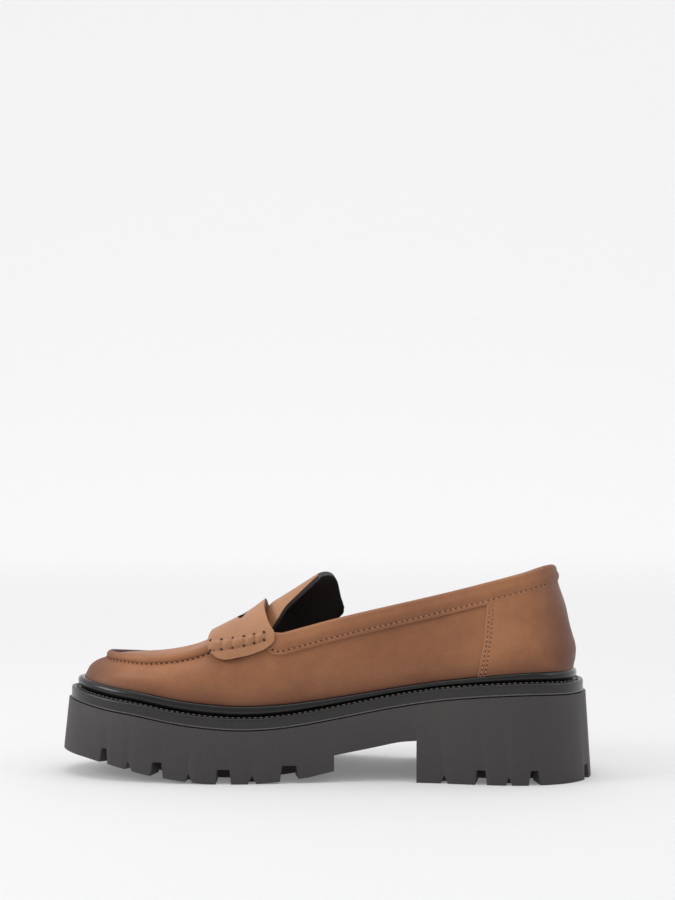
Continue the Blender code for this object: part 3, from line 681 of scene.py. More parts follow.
# %% Shared effects
LEATHER_INPUTS = [
    ("Light", "NodeSocketColor", (0.42, 0.205, 0.105, 1)),
    ("Deep", "NodeSocketColor", (0.20, 0.075, 0.036, 1)),
    ("Gloss", "NodeSocketFloat", 0.42),
]
LOOK_OUTPUTS = [
    ("Color", "NodeSocketColor"), ("Roughness", "NodeSocketFloat"), ("Normal", "NodeSocketVector"),
]


def end_look(group, start, end, colour, rough, normal):
    """Gives a look its outputs, with the roughness as a change to the gloss setting."""
    add = group.nodes.new("ShaderNodeMath")
    add.operation = "ADD"
    group.links.new(start.outputs["Gloss"], add.inputs[0])
    group.links.new(rough, add.inputs[1])
    group.links.new(colour, end.inputs["Color"])
    group.links.new(add.outputs[0], end.inputs["Roughness"])
    group.links.new(normal, end.inputs["Normal"])
    return group


def leather_group():
    """Pull-up leather: clouds, darkening from the burnished toe and heel and from painted shade, fine
    pores and a soft grain.
    """
    group, start, end = new_group("pull_up_leather", LEATHER_INPUTS, LOOK_OUTPUTS)
    place = object_place(group)
    cloud = ramp(group, noise(group, place, 22.0, 4.0, 0.55), 0.30, 0.72)
    streak = ramp(group, noise(group, place, 150.0, 4.0, 0.6), 0.35, 0.70)
    # The darkening attribute: burnished toe and heel, a darker strip above the bead, and painted shade on
    # the quarter
    burnish_and_painted_shade = group.nodes.new("ShaderNodeAttribute")
    burnish_and_painted_shade.attribute_name = "burnish_and_shade"
    base = mix(group, cloud, start.outputs["Deep"], start.outputs["Light"])
    base = mix(group, 0.50, base, start.outputs["Light"])
    base = mix(group, ramp(group, streak, 0.0, 1.0, 0.0, 0.25), base, start.outputs["Light"])
    dark = mix(group, 1.0, start.outputs["Deep"], (0.62, 0.50, 0.52), "MULTIPLY")
    colour = mix(group, burnish_and_painted_shade.outputs["Fac"], base, dark)
    pores = ramp(group, noise(group, place, 2600.0, 2.0, 0.5), 0.30, 0.62)
    in_pores = mix(group, 1.0, colour, (0.6, 0.5, 0.5), "MULTIPLY")
    colour = mix(group, ramp(group, pores, 0.0, 1.0, 0.30, 0.0), colour, in_pores)
    grain = bump(group, pores, 0.22, 0.00012)
    swell = bump(group, noise(group, place, 420.0, 3.0, 0.55), 0.16, 0.0005, grain)
    rough = ramp(group, noise(group, place, 60.0, 3.0, 0.5), 0.3, 0.7, -0.05, 0.07)
    return end_look(group, start, end, colour, rough, swell)


RUBBER_INPUTS = [
    ("Base", "NodeSocketColor", (0.075, 0.068, 0.066, 1)),
    ("Dust", "NodeSocketColor", (0.105, 0.096, 0.092, 1)),
    ("Gloss", "NodeSocketFloat", 0.66),
]


def rubber_group():
    """Moulded rubber: a very fine grain with a little dust."""
    group, start, end = new_group("moulded_rubber", RUBBER_INPUTS, LOOK_OUTPUTS)
    place = object_place(group)
    speck = ramp(group, noise(group, place, 1500.0, 2.0, 0.6), 0.35, 0.68)
    patch = ramp(group, noise(group, place, 28.0, 4.0, 0.6), 0.35, 0.70)
    specks = ramp(group, speck, 0.0, 1.0, 0.0, 0.35)
    colour = mix(group, specks, start.outputs["Base"], start.outputs["Dust"])
    colour = mix(group, ramp(group, patch, 0.0, 1.0, 0.0, 0.22), colour, start.outputs["Dust"])
    rough = ramp(group, patch, 0.0, 1.0, -0.04, 0.05)
    return end_look(group, start, end, colour, rough, bump(group, speck, 0.20, 0.00012))


LEATHER_LOOK = leather_group()
RUBBER_LOOK = rubber_group()


def material(name, group, first, second, gloss, coat=0.0, specular=0.5):
    """A material whose colour, roughness and normal come from a shared effect."""
    made = bpy.data.materials.new(name)
    made.use_nodes = True
    tree = made.node_tree
    shader = tree.nodes["Principled BSDF"]
    look = tree.nodes.new("ShaderNodeGroup")
    look.node_tree = group
    names = [item.name for item in look.inputs]
    look.inputs[names[0]].default_value = (*first, 1.0)
    look.inputs[names[1]].default_value = (*second, 1.0)
    look.inputs["Gloss"].default_value = gloss
    tree.links.new(look.outputs["Color"], shader.inputs["Base Color"])
    tree.links.new(look.outputs["Roughness"], shader.inputs["Roughness"])
    tree.links.new(look.outputs["Normal"], shader.inputs["Normal"])
    shader.inputs["Coat Weight"].default_value = coat
    shader.inputs["Coat Roughness"].default_value = 0.35
    shader.inputs["Specular IOR Level"].default_value = specular
    return made


TAN = material("tan_leather", LEATHER_LOOK, (0.420, 0.180, 0.078), (0.165, 0.058, 0.026), 0.47, 0.0, 0.34)
PALE_TAN = material(
    "strap_leather_pale", LEATHER_LOOK, (0.440, 0.215, 0.105), (0.270, 0.112, 0.052), 0.50, 0.0, 0.36
)
RAW_EDGE = material("raw_edge", LEATHER_LOOK, (0.115, 0.055, 0.048), (0.070, 0.032, 0.030), 0.70)
CUT_EDGE = material("cut_edge_tan", LEATHER_LOOK, (0.400, 0.205, 0.112), (0.300, 0.140, 0.075), 0.60)
THREAD = material("tan_thread", LEATHER_LOOK, (0.46, 0.235, 0.135), (0.30, 0.135, 0.075), 0.62)
# Dark dots that paint the shade inside the needle holes
HOLE_SHADE = material("needle_hole_shade", LEATHER_LOOK, (0.050, 0.018, 0.010), (0.030, 0.010, 0.007), 0.80)
LINING = material("black_lining", LEATHER_LOOK, (0.0300, 0.0205, 0.0215), (0.0210, 0.0150, 0.0160), 0.50)
RUBBER = material(
    "outsole_rubber_grey", RUBBER_LOOK, (0.044, 0.039, 0.0395), (0.062, 0.055, 0.0555), 0.62, 0.0, 0.40
)
SATIN = material("band_satin", RUBBER_LOOK, (0.0120, 0.0098, 0.0100), (0.022, 0.0185, 0.0190), 0.33)
GLOSS = material(
    "bead_black", RUBBER_LOOK, (0.0045, 0.0038, 0.0038), (0.008, 0.007, 0.007), 0.14, 0.25, 0.30
)
# A pale grey, far lighter than the black band, that paints the highlight along the band's lower edge
BAND_EDGE_HIGHLIGHT = material("band_edge_highlight", RUBBER_LOOK, (0.085, 0.079, 0.079), (0.13, 0.122, 0.122), 0.30)
# The welt's black stitches are coloured grey: painted highlights on black thread
WELT_THREAD_AND_HIGHLIGHT = material("welt_thread_and_highlight", RUBBER_LOOK, (0.080, 0.074, 0.066), (0.22, 0.205, 0.170), 0.50)


# %% [markdown]
# ## Laying pieces on the last

# %% Mesh helpers
def mesh_piece(name, grids, materials, wrap=False, slots=None):
    """Smooth grids of quads, each of rows of equally many points, with doubles merged."""
    shape = bmesh.new()
    for rows in grids:
        grid = [[shape.verts.new(point) for point in row] for row in np.asarray(rows, float)]
        width = len(grid[0])
        for index in range(len(grid) - 1):
            for column in range(width if wrap else width - 1):
                after = (column + 1) % width
                here, there = grid[index], grid[index + 1]
                face = shape.faces.new([here[column], here[after], there[after], there[column]])
                face.smooth = True
                if slots is not None:
                    face.material_index = slots[index]
    bmesh.ops.remove_doubles(shape, verts=shape.verts, dist=2e-5)
    bmesh.ops.dissolve_degenerate(shape, edges=shape.edges, dist=1e-6)
    bmesh.ops.recalc_face_normals(shape, faces=shape.faces)
    obj = link_shape(name, shape)
    for item in materials:
        obj.data.materials.append(item)
    return obj


def orient_outwards(obj):
    """Turns the faces of an open sheet away from the middle of the last."""
    shape = bmesh.new()
    shape.from_mesh(obj.data)
    total = 0.0
    for face in shape.faces:
        middle = face.calc_center_median()
        inside = Vector((middle.x, float(crest_side(middle.x)), 0.045))
        total += face.normal.dot(middle - inside) * face.calc_area()
    if total < 0:
        bmesh.ops.reverse_faces(shape, faces=shape.faces)
    shape.to_mesh(obj.data)
    shape.free()
    return obj


def soften(obj, width, segments, degrees):
    """Rounds the edges that are sharper than the angle."""
    bevel = obj.modifiers.new("Soft edge", "BEVEL")
    bevel.width = width
    bevel.segments = segments
    bevel.limit_method = "ANGLE"
    bevel.angle_limit = math.radians(degrees)


def thicken(obj, thickness, soft, inside_slot=0, rim_slot=1):
    """Gives a sheet its thickness inwards, with softened raw edges."""
    solid = obj.modifiers.new("Thickness", "SOLIDIFY")
    solid.thickness = thickness
    solid.offset = -1.0
    solid.use_quality_normals = True
    solid.material_offset = inside_slot
    solid.material_offset_rim = rim_slot
    if soft:
        soften(obj, soft, 3, 50)
    return obj


def settle(obj):
    """Applies a piece's modifiers and marks where its leather is darkened: the burnished toe and heel, a
    strip just above the bead, and painted shade on the quarter.
    """
    graph = bpy.context.evaluated_depsgraph_get()
    mesh = bpy.data.meshes.new_from_object(obj.evaluated_get(graph))
    obj.modifiers.clear()
    obj.data = mesh
    marks = mesh.attributes.new("burnish_and_shade", "FLOAT", "POINT")
    places = np.empty(len(mesh.vertices) * 3)
    mesh.vertices.foreach_get("co", places)
    x, y, z = places.reshape(-1, 3).T
    over = z - ledge_top(x) - bead_rise(x)
    # Darker within a few millimetres above the bead
    low = 0.85 * np.exp(-np.maximum(over, 0) / 0.0065)
    # The toe and heel are burnished darker
    toe = 0.85 * soft_step(-0.088, -0.126, x)
    heel = 0.95 * soft_step(0.098, 0.126, x)
    # Painted shade: the middle of the quarter is darkened because less light falls there than on the vamp
    quarter = 0.30 * soft_step(-0.015, 0.030, x) * soft_step(0.100, 0.070, x)
    burnish_and_painted_shade = np.maximum(np.maximum(low, toe), np.maximum(heel, quarter))
    marks.data.foreach_set("value", np.clip(burnish_and_painted_shade, 0, 1))
    return obj


def soft_step(low, high, values):
    """smooth_step for an array."""
    share = np.clip((values - low) / (high - low), 0, 1)
    return share * share * (3 - 2 * share)


def hand_over(obj, slot, *nodes):
    """Settles a piece, hangs it on the root and hides the parts of the solid model that it stands for."""
    settle(obj)
    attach(obj, "root")
    if nodes:
        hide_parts(*nodes)
    return obj


# %% [markdown]
# ## The sole

# %% Outsole, band and bead
def make_outsole():
    """The rubber sole with its lugs cut and its edges softened."""
    step_line = lambda x: ledge_top(x) - BAND_HEIGHT - CLEARANCE
    sole = slab("outsole_soft", sole_bottom, step_line, 0.0, WALL_FLARE)
    sole.data.materials.append(RUBBER)
    roof = smooth_path([(along(row.along), row.height * LEDGE_HEIGHT) for row in ARCH], 6)
    floor = -GROOVE_DEPTH
    arch = [(roof[0][0], floor), *map(tuple, roof), (roof[-1][0], floor)]
    middle, breast = along((FOREFOOT_END + HEEL_BREAST) / 2), roof[-1][0]
    rings = []
    for y, skew in ((-BALL_WIDTH, -HEEL_SKEW), (BALL_WIDTH, HEEL_SKEW)):
        rings.append([(x + skew * max((x - middle) / (breast - middle), 0.0), y, z) for x, z in arch])
    cutters = [loft("arch_gap", rings, True, True)]
    reach = EDGE_LUG_WIDTH + CHANNEL_WIDTH / 2
    for side in (-1, 1):
        for groove in GROOVES + [HEEL_SLOTS]:
            point, inwards = edge_frame(groove.along, side)
            cutters.append(groove_cutter(groove, point, inwards, GROOVE_DEPTH, reach))
        for notch in NOTCHES:
            point, inwards = edge_frame(notch.along, side)
            cutters.append(groove_cutter(notch, point, inwards, NOTCH_DEPTH, EDGE_LUG_WIDTH / 2))
    toe = np.array([along(0.0), PLAN[0].medial * BALL_WIDTH])
    cutters.append(groove_cutter(TOE_SLOT, toe, np.array([1.0, 0.0]), NOTCH_DEPTH, reach))
    cutters.append(channel_cutter())
    cutters += [cross_cutter(share) for share in CROSS_CHANNELS]
    for number, cutter in enumerate(cutters):
        cut = sole.modifiers.new(f"Cut {number}", "BOOLEAN")
        cut.operation = "DIFFERENCE"
        cut.solver = "EXACT" if number == 0 else "MANIFOLD"
        cut.object = cutter
    soften(sole, 0.0006, 2, 38)
    hand_over(sole, "outsole_rubber", "outsole")
    for cutter in cutters:
        bpy.data.objects.remove(cutter)
    sole.data.shade_smooth()
    sole.data.set_sharp_from_angle(angle=math.radians(32))
    return sole


def swept_round(name, profile, item, base, rise=None):
    """A profile of insets and heights carried round the sole's edge."""
    unit = rise or (lambda x: 1.0)
    rows = []
    for inset, height in profile:
        loop = loop_at(inset)
        rows.append([(x, y, float(ledge_top(x)) + base + height * float(unit(x))) for x, y in loop])
    return mesh_piece(name, [rows], [item], wrap=True)


BAND_PROFILE = [
    (0.0060, -1.00), (0.0, -1.00), (0.0, -0.95), (0.0, -0.60), (0.0, -0.25), (0.00005, -0.12),
    (0.0002, -0.045), (0.0006, 0.0), (0.0012, 0.0), (0.0018, -0.02), (0.0024, -0.07), (0.0030, -0.09),
    (0.0036, -0.05),
    (0.0042, -0.02), (0.0075, -0.02),
]


def make_band():
    """The satin step, with the shallow groove that its stitches lie in."""
    outer = WALL_FLARE + BAND_STEP
    profile = [(outer + inset, height * BAND_HEIGHT) for inset, height in BAND_PROFILE]
    return hand_over(swept_round("band_soft", profile, SATIN, 0.0), "band_rubber", "midsole_band")


def make_bead():
    """The round glossy bead."""
    profile = []
    for angle in np.linspace(-math.pi / 2, math.pi / 2, 17):
        out = math.cos(angle) ** 0.85
        profile.append((FEATHER - CLEARANCE - out * BEAD_WIDTH, 0.5 + 0.5 * math.sin(angle)))
    profile = [(FEATHER + 0.001, 0.0)] + profile + [(FEATHER + 0.001, 0.96)]
    bead = swept_round("bead_soft", profile, GLOSS, CLEARANCE, bead_rise)
    return hand_over(bead, "bead_gloss", "welt_bead")


def make_band_highlight():
    """A thin tube along the bottom of the band, pale grey to paint the highlight on the band's lower edge.
    """
    outer, low = WALL_FLARE + BAND_STEP, -BAND_HEIGHT + 0.0005
    angles = np.linspace(-math.pi / 2, math.pi / 2, 9)
    profile = []
    for angle in angles:
        profile.append((outer + 0.0002 - 0.0005 * math.cos(angle), low + 0.0004 * math.sin(angle)))
    return hand_over(swept_round("band_highlight_soft", profile, BAND_EDGE_HIGHLIGHT, 0.0), "band_rubber")


# %% [markdown]
# ## The upper

# %% Lines that the pieces share
TOP_PATH = side_outline(TOPLINE, BACK_HEIGHT, HEEL_LEDGE)[::-1]
topline = lambda x: np.where(x < TOP_PATH[0, 0], 1.0, np.interp(x, TOP_PATH[:, 0], TOP_PATH[:, 1]))
band_edge = lambda x: topline(x) - COLLAR_BAND_HEIGHT
seat_line = lambda x: ledge_top(x) + bead_rise(x)

# Soft creases where the vamp flexes: place, height, length, depth and slant
Crease = namedtuple("Crease", "along height length width depth slant")
CREASES = [
    Crease(0.352, 0.052, 0.020, 0.0030, 0.00035, 0.9),
    Crease(0.372, 0.054, 0.018, 0.0028, -0.00025, 0.9),
    Crease(0.330, 0.050, 0.016, 0.0026, -0.00020, 0.8),
    Crease(0.560, 0.066, 0.026, 0.0050, 0.00025, 0.3),
]


def crease_lift(points):
    """How far the creases move the leather at each point."""
    lift = np.zeros(points.shape[:-1])
    for crease in CREASES:
        dx = points[..., 0] - along(crease.along)
        dz = points[..., 2] - crease.height
        lengthwise = dx * math.cos(crease.slant) + dz * math.sin(crease.slant)
        crosswise = -dx * math.sin(crease.slant) + dz * math.cos(crease.slant)
        fade = np.exp(-((lengthwise / crease.length) ** 2)) * np.exp(-((crosswise / crease.width) ** 2))
        lift -= crease.depth * fade
    return lift


def make_upper():
    """Vamp and quarters in one shell, lined inside."""
    s = np.arange(STATIONS + 1, dtype=float)
    grids = []
    for side in (MEDIAL, LATERAL):
        tops = crossing(side, s, topline, COLLAR_TILT)
        ks = np.linspace(0, 1, 44)[None, :] * tops[:, None]
        points = on_last(side, s[:, None], ks)
        points = on_last(side, s[:, None], ks, crease_lift(points))
        grids.append(points)
    upper = orient_outwards(mesh_piece("upper_soft", grids, [TAN, LINING]))
    thicken(upper, UPPER_WALL, 0.0, 1, 0)
    return hand_over(upper, "upper_leather", "upper")


BAND_SHAPE = [
    (0.00, 0.0001), (0.00, 0.0008), (0.02, 0.00125), (0.07, 0.0014), (0.15, 0.0013), (0.21, 0.00095),
    (0.27, 0.0014), (0.36, 0.0020), (0.48, 0.0025), (0.60, 0.0027), (0.72, 0.0026), (0.84, 0.0022),
]
COLLAR_ROLL = 0.0024
COLLAR_INSIDE = 0.0030


def make_collar_band():
    """The padded band, rolled over the topline and down inside it."""
    grids = []
    start = float(station_at(along(0.379)))
    s = np.linspace(start, STATIONS, 130)
    for side in (MEDIAL, LATERAL):
        low = crossing(side, s, band_edge, COLLAR_TILT)
        high = crossing(side, s, lambda x: topline(x) - COLLAR_ROLL, COLLAR_TILT)
        full = 0.45 + 0.55 * soft_step(s[0], s[0] + 4.0, s)
        rows = [on_last(side, s, low + (high - low) * share, lift * full) for share, lift in BAND_SHAPE]
        top = on_last(side, s, high)
        out = sample(NORMALS[side], s, high)
        up = on_last(side, s, high + 0.4) - on_last(side, s, high - 0.4)
        up /= np.linalg.norm(up, axis=1, keepdims=True)
        outer = BAND_SHAPE[-1][1]
        middle = (outer - COLLAR_INSIDE) / 2
        half = (outer + COLLAR_INSIDE) / 2
        for angle in np.linspace(0.12, math.pi, 12):
            rows.append(top + out * (middle + half * math.cos(angle)) + up * COLLAR_ROLL * math.sin(angle))
        for share in (0.8, 0.5, 0.2, 0.0):
            rows.append(on_last(side, s, low + (high - low) * share, np.full_like(s, -COLLAR_INSIDE)))
        grids.append(rows)
    count = len(grids[0]) - 1
    slots = [1 if index < 2 else 0 if index < count - 6 else 2 for index in range(count)]
    band = mesh_piece("collar_soft", grids, [TAN, CUT_EDGE, LINING], slots=slots)
    return hand_over(band, "upper_leather", "collar_band")


def front_station(side, heights, front):
    """Where each row of a height share meets the counter's front edge."""
    s = np.linspace(station_at(along(0.74)), station_at(along(0.83)), 160)
    low = crossing(side, s, seat_line)
    high = crossing(side, s, band_edge, COLLAR_TILT)
    found = []
    for share in heights:
        points = on_last(side, s, low + (high - low) * share)
        ahead = points[:, 0] - front(points[:, 2])
        found.append(np.interp(0.0, ahead, s))
    return np.array(found)


def counter_front():
    """The counter's front edge as a function of the height."""
    path = side_outline(COUNTER_FRONT, BACK_HEIGHT, HEEL_LEDGE)[::-1]
    return lambda z: np.interp(z, path[:, 1], path[:, 0])


def counter_places(side, heights, backs):
    """Stations and rib steps at height shares, and at distances behind the counter's front edge."""
    starts = front_station(side, heights, counter_front())
    stations_behind = []
    for start in starts:
        s = np.linspace(start, STATIONS, 120)
        line = on_last(side, s, np.full_like(s, RIB_STEPS * 0.3))
        gone = distances(line)
        wanted = [gone[-1] if back is None else back for back in backs]
        stations_behind.append(np.interp(wanted, gone, s))
    s = np.array(stations_behind)
    low = np.array([crossing(side, row, seat_line) for row in s])
    high = np.array([crossing(side, row, band_edge, COLLAR_TILT) for row in s])
    shares = np.asarray(heights)[:, None]
    return s, low + (high + 0.6 - low) * shares


# The counter's front edge: distances behind it, with the lift there. It dips under both stitch rows
COUNTER_EDGE = [
    (0.0, 0.0), (0.0001, 0.0006), (0.0003, 0.0010), (0.0006, 0.0013), (0.0010, 0.0013), (0.0014, 0.0013),
    (0.0018, 0.0010), (0.0022, 0.0013), (0.0028, 0.0013), (0.0033, 0.0012), (0.0037, 0.0010),
    (0.0041, 0.0012), (0.0050, 0.0013),
]


def make_counter():
    """The overlay round the heel, with its raw front edge."""
    heights = np.linspace(-0.06, 1.0, 30)
    backs, lifts = map(list, zip(*COUNTER_EDGE))
    grids = []
    for side in (MEDIAL, LATERAL):
        spread = list(np.linspace(0.007, 0.058, 30)) + [None]
        s, k = counter_places(side, heights, backs + spread)
        lift = np.array(lifts + [COUNTER_THICKNESS] * len(spread))[None, :] + 0.0 * k
        grids.append(np.swapaxes(on_last(side, s, k, lift), 0, 1))
    slots = [1 if index < 3 else 0 for index in range(len(grids[0]) - 1)]
    counter = mesh_piece("counter_soft", grids, [TAN, CUT_EDGE], slots=slots)
    return hand_over(counter, "upper_leather", "heel_counter")

# %% Apron and its lip
APRON_PATH = plan_outline(APRON)
LIP_SHAPE = [
    (0.0006, -0.0004), (0.0009, 0.0004), (0.0009, 0.0013), (0.0006, 0.0022), (-0.0001, 0.0029),
    (-0.0010, 0.0033), (-0.0019, 0.0033), (-0.0026, 0.0030), (-0.0030, 0.0022), (-0.0032, 0.0013),
    (-0.0034, 0.0004),
]


def plan_places(places):
    """Points on the last and its normals at places in plan, for a row that may cross the crest."""
    points, normals = [], []
    for x, y in places:
        side = MEDIAL if y < crest_side(x) else LATERAL
        s, k = find(side, [(x, y)], [0, 1], RIB_STEPS * 0.3)[0]
        points.append(on_last(side, s, k))
        normals.append(sample(NORMALS[side], s, k))
    return np.array(points), np.array(normals)


def smooth_rows(rows, turns=3):
    """Evens the points of a row, with its ends as they are."""
    rows = np.array(rows)
    for _ in range(turns):
        rows[1:-1] = (rows[:-2] + 2 * rows[1:-1] + rows[2:]) / 4
    return rows


def resampled(path, spacing):
    """A path with points at even distances."""
    path = np.asarray(path, float)
    return evenly(path, max(int(distances(path)[-1] / spacing), 2) + 1)


def apron_line(amount, spacing=0.0012):
    """A line on the last at a distance outside the apron's edge, with its frames."""
    places = resampled(grow(APRON_PATH, amount), spacing)
    points, normals = plan_places(places)
    points = smooth_rows(points)
    normals = smooth_rows(normals)
    normals /= np.linalg.norm(normals, axis=1, keepdims=True)
    ahead = np.gradient(points, axis=0)
    ahead /= np.linalg.norm(ahead, axis=1, keepdims=True)
    return points, normals, np.cross(ahead, normals)


def make_apron():
    """The plug on the toe and the folded lip round it."""
    tip = int(np.argmin(APRON_PATH[:, 0]))
    near, far = APRON_PATH[: tip + 1][::-1], APRON_PATH[tip:]
    turns = np.linspace(0, math.pi / 2, 40)
    xs = APRON_PATH[tip, 0] + (APRON_PATH[0, 0] - APRON_PATH[tip, 0]) * (1 - np.cos(turns))
    rows = []
    for x in xs[1:]:
        low = np.interp(x, near[:, 0], near[:, 1])
        high = np.interp(x, far[:, 0], far[:, 1])
        ys = low + (high - low) * (1 - np.cos(np.linspace(0, math.pi, 29))) / 2
        points, normals = plan_places([(x, y) for y in ys])
        rows.append(smooth_rows(points + normals * 0.0013, 2))
    plate = mesh_piece("apron_soft", [rows], [TAN])
    points, normals, outwards = apron_line(0.0)
    if (outwards[len(outwards) // 2][0]) > 0:
        outwards = -outwards
    lip = [points + outwards * out + normals * up for out, up in LIP_SHAPE]
    slots = [0, 0, 0, 0, 0, 0, 1, 1, 1, 1]
    fold = mesh_piece("apron_lip_soft", [lip], [TAN, RAW_EDGE], slots=slots)
    hand_over(plate, "upper_leather", "apron")
    hand_over(fold, "upper_leather")
    return plate

# %% Strap and rolls
STRAP_LIFT = APRON_LIP + CLEARANCE + STRAP_THICKNESS


def strap_lift(points, k):
    """How far the strap's outer face stands off the last."""
    x, y = points[..., 0], points[..., 1]
    behind = soft_step(along(0.285), along(0.385), x)
    crest = CLEARANCE + STRAP_LIFT * (1 - (1 - STRAP_REAR_SHARE) * behind)
    inside = np.where(y < 0, soft_step(-0.045, -0.028, y), soft_step(0.042, 0.025, y))
    over_band = 0.0016 * soft_step(along(0.366), along(0.390), x)
    return (CLEARANCE + 1.35 * STRAP_THICKNESS + over_band) * (1 - inside) + crest * inside


STRAP_FINE = [on_last(side, FINE_S, FINE_K, strap_lift(FINE[side], FINE_K)) for side in (MEDIAL, LATERAL)]


def patch(low, high, first, last, across, up):
    """A grid between four edges: low and high run across, first and last run up."""
    low, high = evenly(low, across), evenly(high, across)
    first, last = evenly(first, up), evenly(last, up)
    u = np.linspace(0, 1, across)[None, :, None]
    v = np.linspace(0, 1, up)[:, None, None]
    upright = low[None] * (1 - v) + high[None] * v
    level = first[:, None] * (1 - u) + last[:, None] * u
    corners = (low[0] * (1 - u) + low[-1] * u) * (1 - v) + (high[0] * (1 - u) + high[-1] * u) * v
    return upright + level - corners


def evenly(path, count):
    """A path with that many points at even distances."""
    path = np.asarray(path, float)
    gone = distances(path)
    wanted = np.linspace(0, gone[-1], count)
    return np.stack([np.interp(wanted, gone, path[:, axis]) for axis in range(path.shape[1])], axis=1)


FRONT_CORNER, REAR_CORNER = 2, 8
STRAP_CREST = (0.2830, 0.3845)
STRAP_PATH_STEPS = 6
# Rows over which both halves of the strap are drawn together at the crest
CREST_ROWS = 14


def strap_edges(side):
    """The strap's lower, front and rear edges up to the crest, as stations and rib steps."""
    line = smooth_path([(along(row.along), row.height * INSTEP_RISE) for row in STRAP], STRAP_PATH_STEPS)
    crest = on_last(side, station_at(line[:, 0]), RIB_STEPS)
    crest = crest[:, 2] + strap_lift(crest, None)
    spots = even(find(side, line, [0, 2], 0.0, STRAP_FINE))
    front, rear = FRONT_CORNER * STRAP_PATH_STEPS, REAR_CORNER * STRAP_PATH_STEPS
    below = line[:, 1] < crest - 0.0020
    s = np.linspace(0, STATIONS, 400)
    ridge = on_last(side, s, RIB_STEPS)
    ridge = on_last(side, s, RIB_STEPS, strap_lift(ridge, None))[:, 0]
    tops = [(float(np.interp(along(share), ridge, s)), RIB_STEPS) for share in STRAP_CREST]
    ahead = [spots[i] for i in range(front, -1, -1) if below[i]]
    behind = [spots[i] for i in range(rear, len(spots)) if below[i]]
    return spots[front : rear + 1], [*ahead, tops[0]], [*behind, tops[1]], tops


def make_strap():
    """The saddle strap over the instep, with its slit and raw edges."""
    grids = []
    for side in (MEDIAL, LATERAL):
        low, ahead, behind, tops = strap_edges(side)
        spots = patch(low, tops, ahead, behind, 40, 56)
        s, k = spots[..., 0], spots[..., 1]
        grids.append(on_last(side, s, k, strap_lift(on_last(side, s, k), k)))
    ridge = (grids[0][-1] + grids[1][-1]) / 2
    for grid in grids:
        shift = ridge - grid[-1]
        pull = np.linspace(0, 1, CREST_ROWS) ** 2
        grid[-CREST_ROWS:] += pull[:, None, None] * shift
    strap = orient_outwards(mesh_piece("strap_soft", grids, [PALE_TAN, RAW_EDGE]))
    thicken(strap, STRAP_THICKNESS, 0.0, 0, 1)
    x = along(SLIT_ALONG)
    middle = float(crest_side(x))
    lens = []
    for angle in np.linspace(0, 2 * math.pi, SLIT_STEPS * 2, endpoint=False):
        bow = math.sin(angle) * abs(math.sin(angle)) ** SLIT_BLUNTNESS
        lens.append((x + bow * SLIT_WIDTH / 2, middle + math.cos(angle) * SLIT_LENGTH / 2))
    slit = loft("slit", [[(px, py, z) for px, py in lens] for z in (0.0, 0.15)], True, True)
    slit.data.materials.append(RAW_EDGE)
    cut = strap.modifiers.new("Slit", "BOOLEAN")
    cut.operation = "DIFFERENCE"
    cut.object = slit
    cut.material_mode = "TRANSFER"
    soften(strap, 0.00035, 2, 55)
    hand_over(strap, "strap_leather", "saddle_strap")
    bpy.data.objects.remove(slit)
    return strap


# The ladder seam: where each rung stands, with the heights of its lower and upper holes
Rung = namedtuple("Rung", "along low high")
RUNGS = [
    Rung(0.2860, 0.6840, 0.7280), Rung(0.3100, 0.6920, 0.7316), Rung(0.3276, 0.7010, 0.7400),
    Rung(0.3520, 0.7130, 0.7540), Rung(0.3700, 0.7260, 0.7670), Rung(0.3865, 0.7420, 0.7790),
]
ROLL_SWELL = 0.0024


def rung_places(shares, across):
    """Places in side view along the ladder seam, at a share of its height."""
    ends = np.array([(along(r.along), r.low * INSTEP_RISE, r.high * INSTEP_RISE) for r in RUNGS])
    at = np.asarray(shares, float)
    x, low, high = (np.interp(at, np.arange(len(ends)), ends[:, column]) for column in range(3))
    return np.stack([x, low + (high - low) * across], axis=-1)


def strap_points(side, places, extra):
    """Points on the strap's outer face at places in side view."""
    spots = even(find(side, places, [0, 2], 0.0, STRAP_FINE))
    points = on_last(side, spots[:, 0], spots[:, 1])
    return smooth_rows(on_last(side, spots[:, 0], spots[:, 1], strap_lift(points, None) + extra), 1)


def make_rolls():
    """The bulging segments between the rungs at each end of the strap."""
    shares = np.linspace(0, len(RUNGS) - 1, (len(RUNGS) - 1) * 12 + 1)
    pinch = 0.02 + 0.98 * np.abs(np.sin(math.pi * shares)) ** 0.4
    ends = np.clip(np.minimum(shares, len(RUNGS) - 1 - shares) / 0.15, 0, 1) ** 0.5
    for side, word in ((MEDIAL, "medial"), (LATERAL, "lateral")):
        rows = []
        for across in np.linspace(0, 1, 11):
            crown = math.sin(math.pi * across) ** 0.55 if 0 < across < 1 else 0.0
            places = rung_places(shares, 0.5 + (across - 0.5) * 1.12)
            rows.append(strap_points(side, places, ROLL_SWELL * crown * pinch * ends - 0.0001))
        roll = mesh_piece(f"roll_soft_{word}", [rows], [PALE_TAN])
        hand_over(roll, "strap_leather", f"roll_{word}")

# %% Tongue
TONGUE_CAP = 0.0058


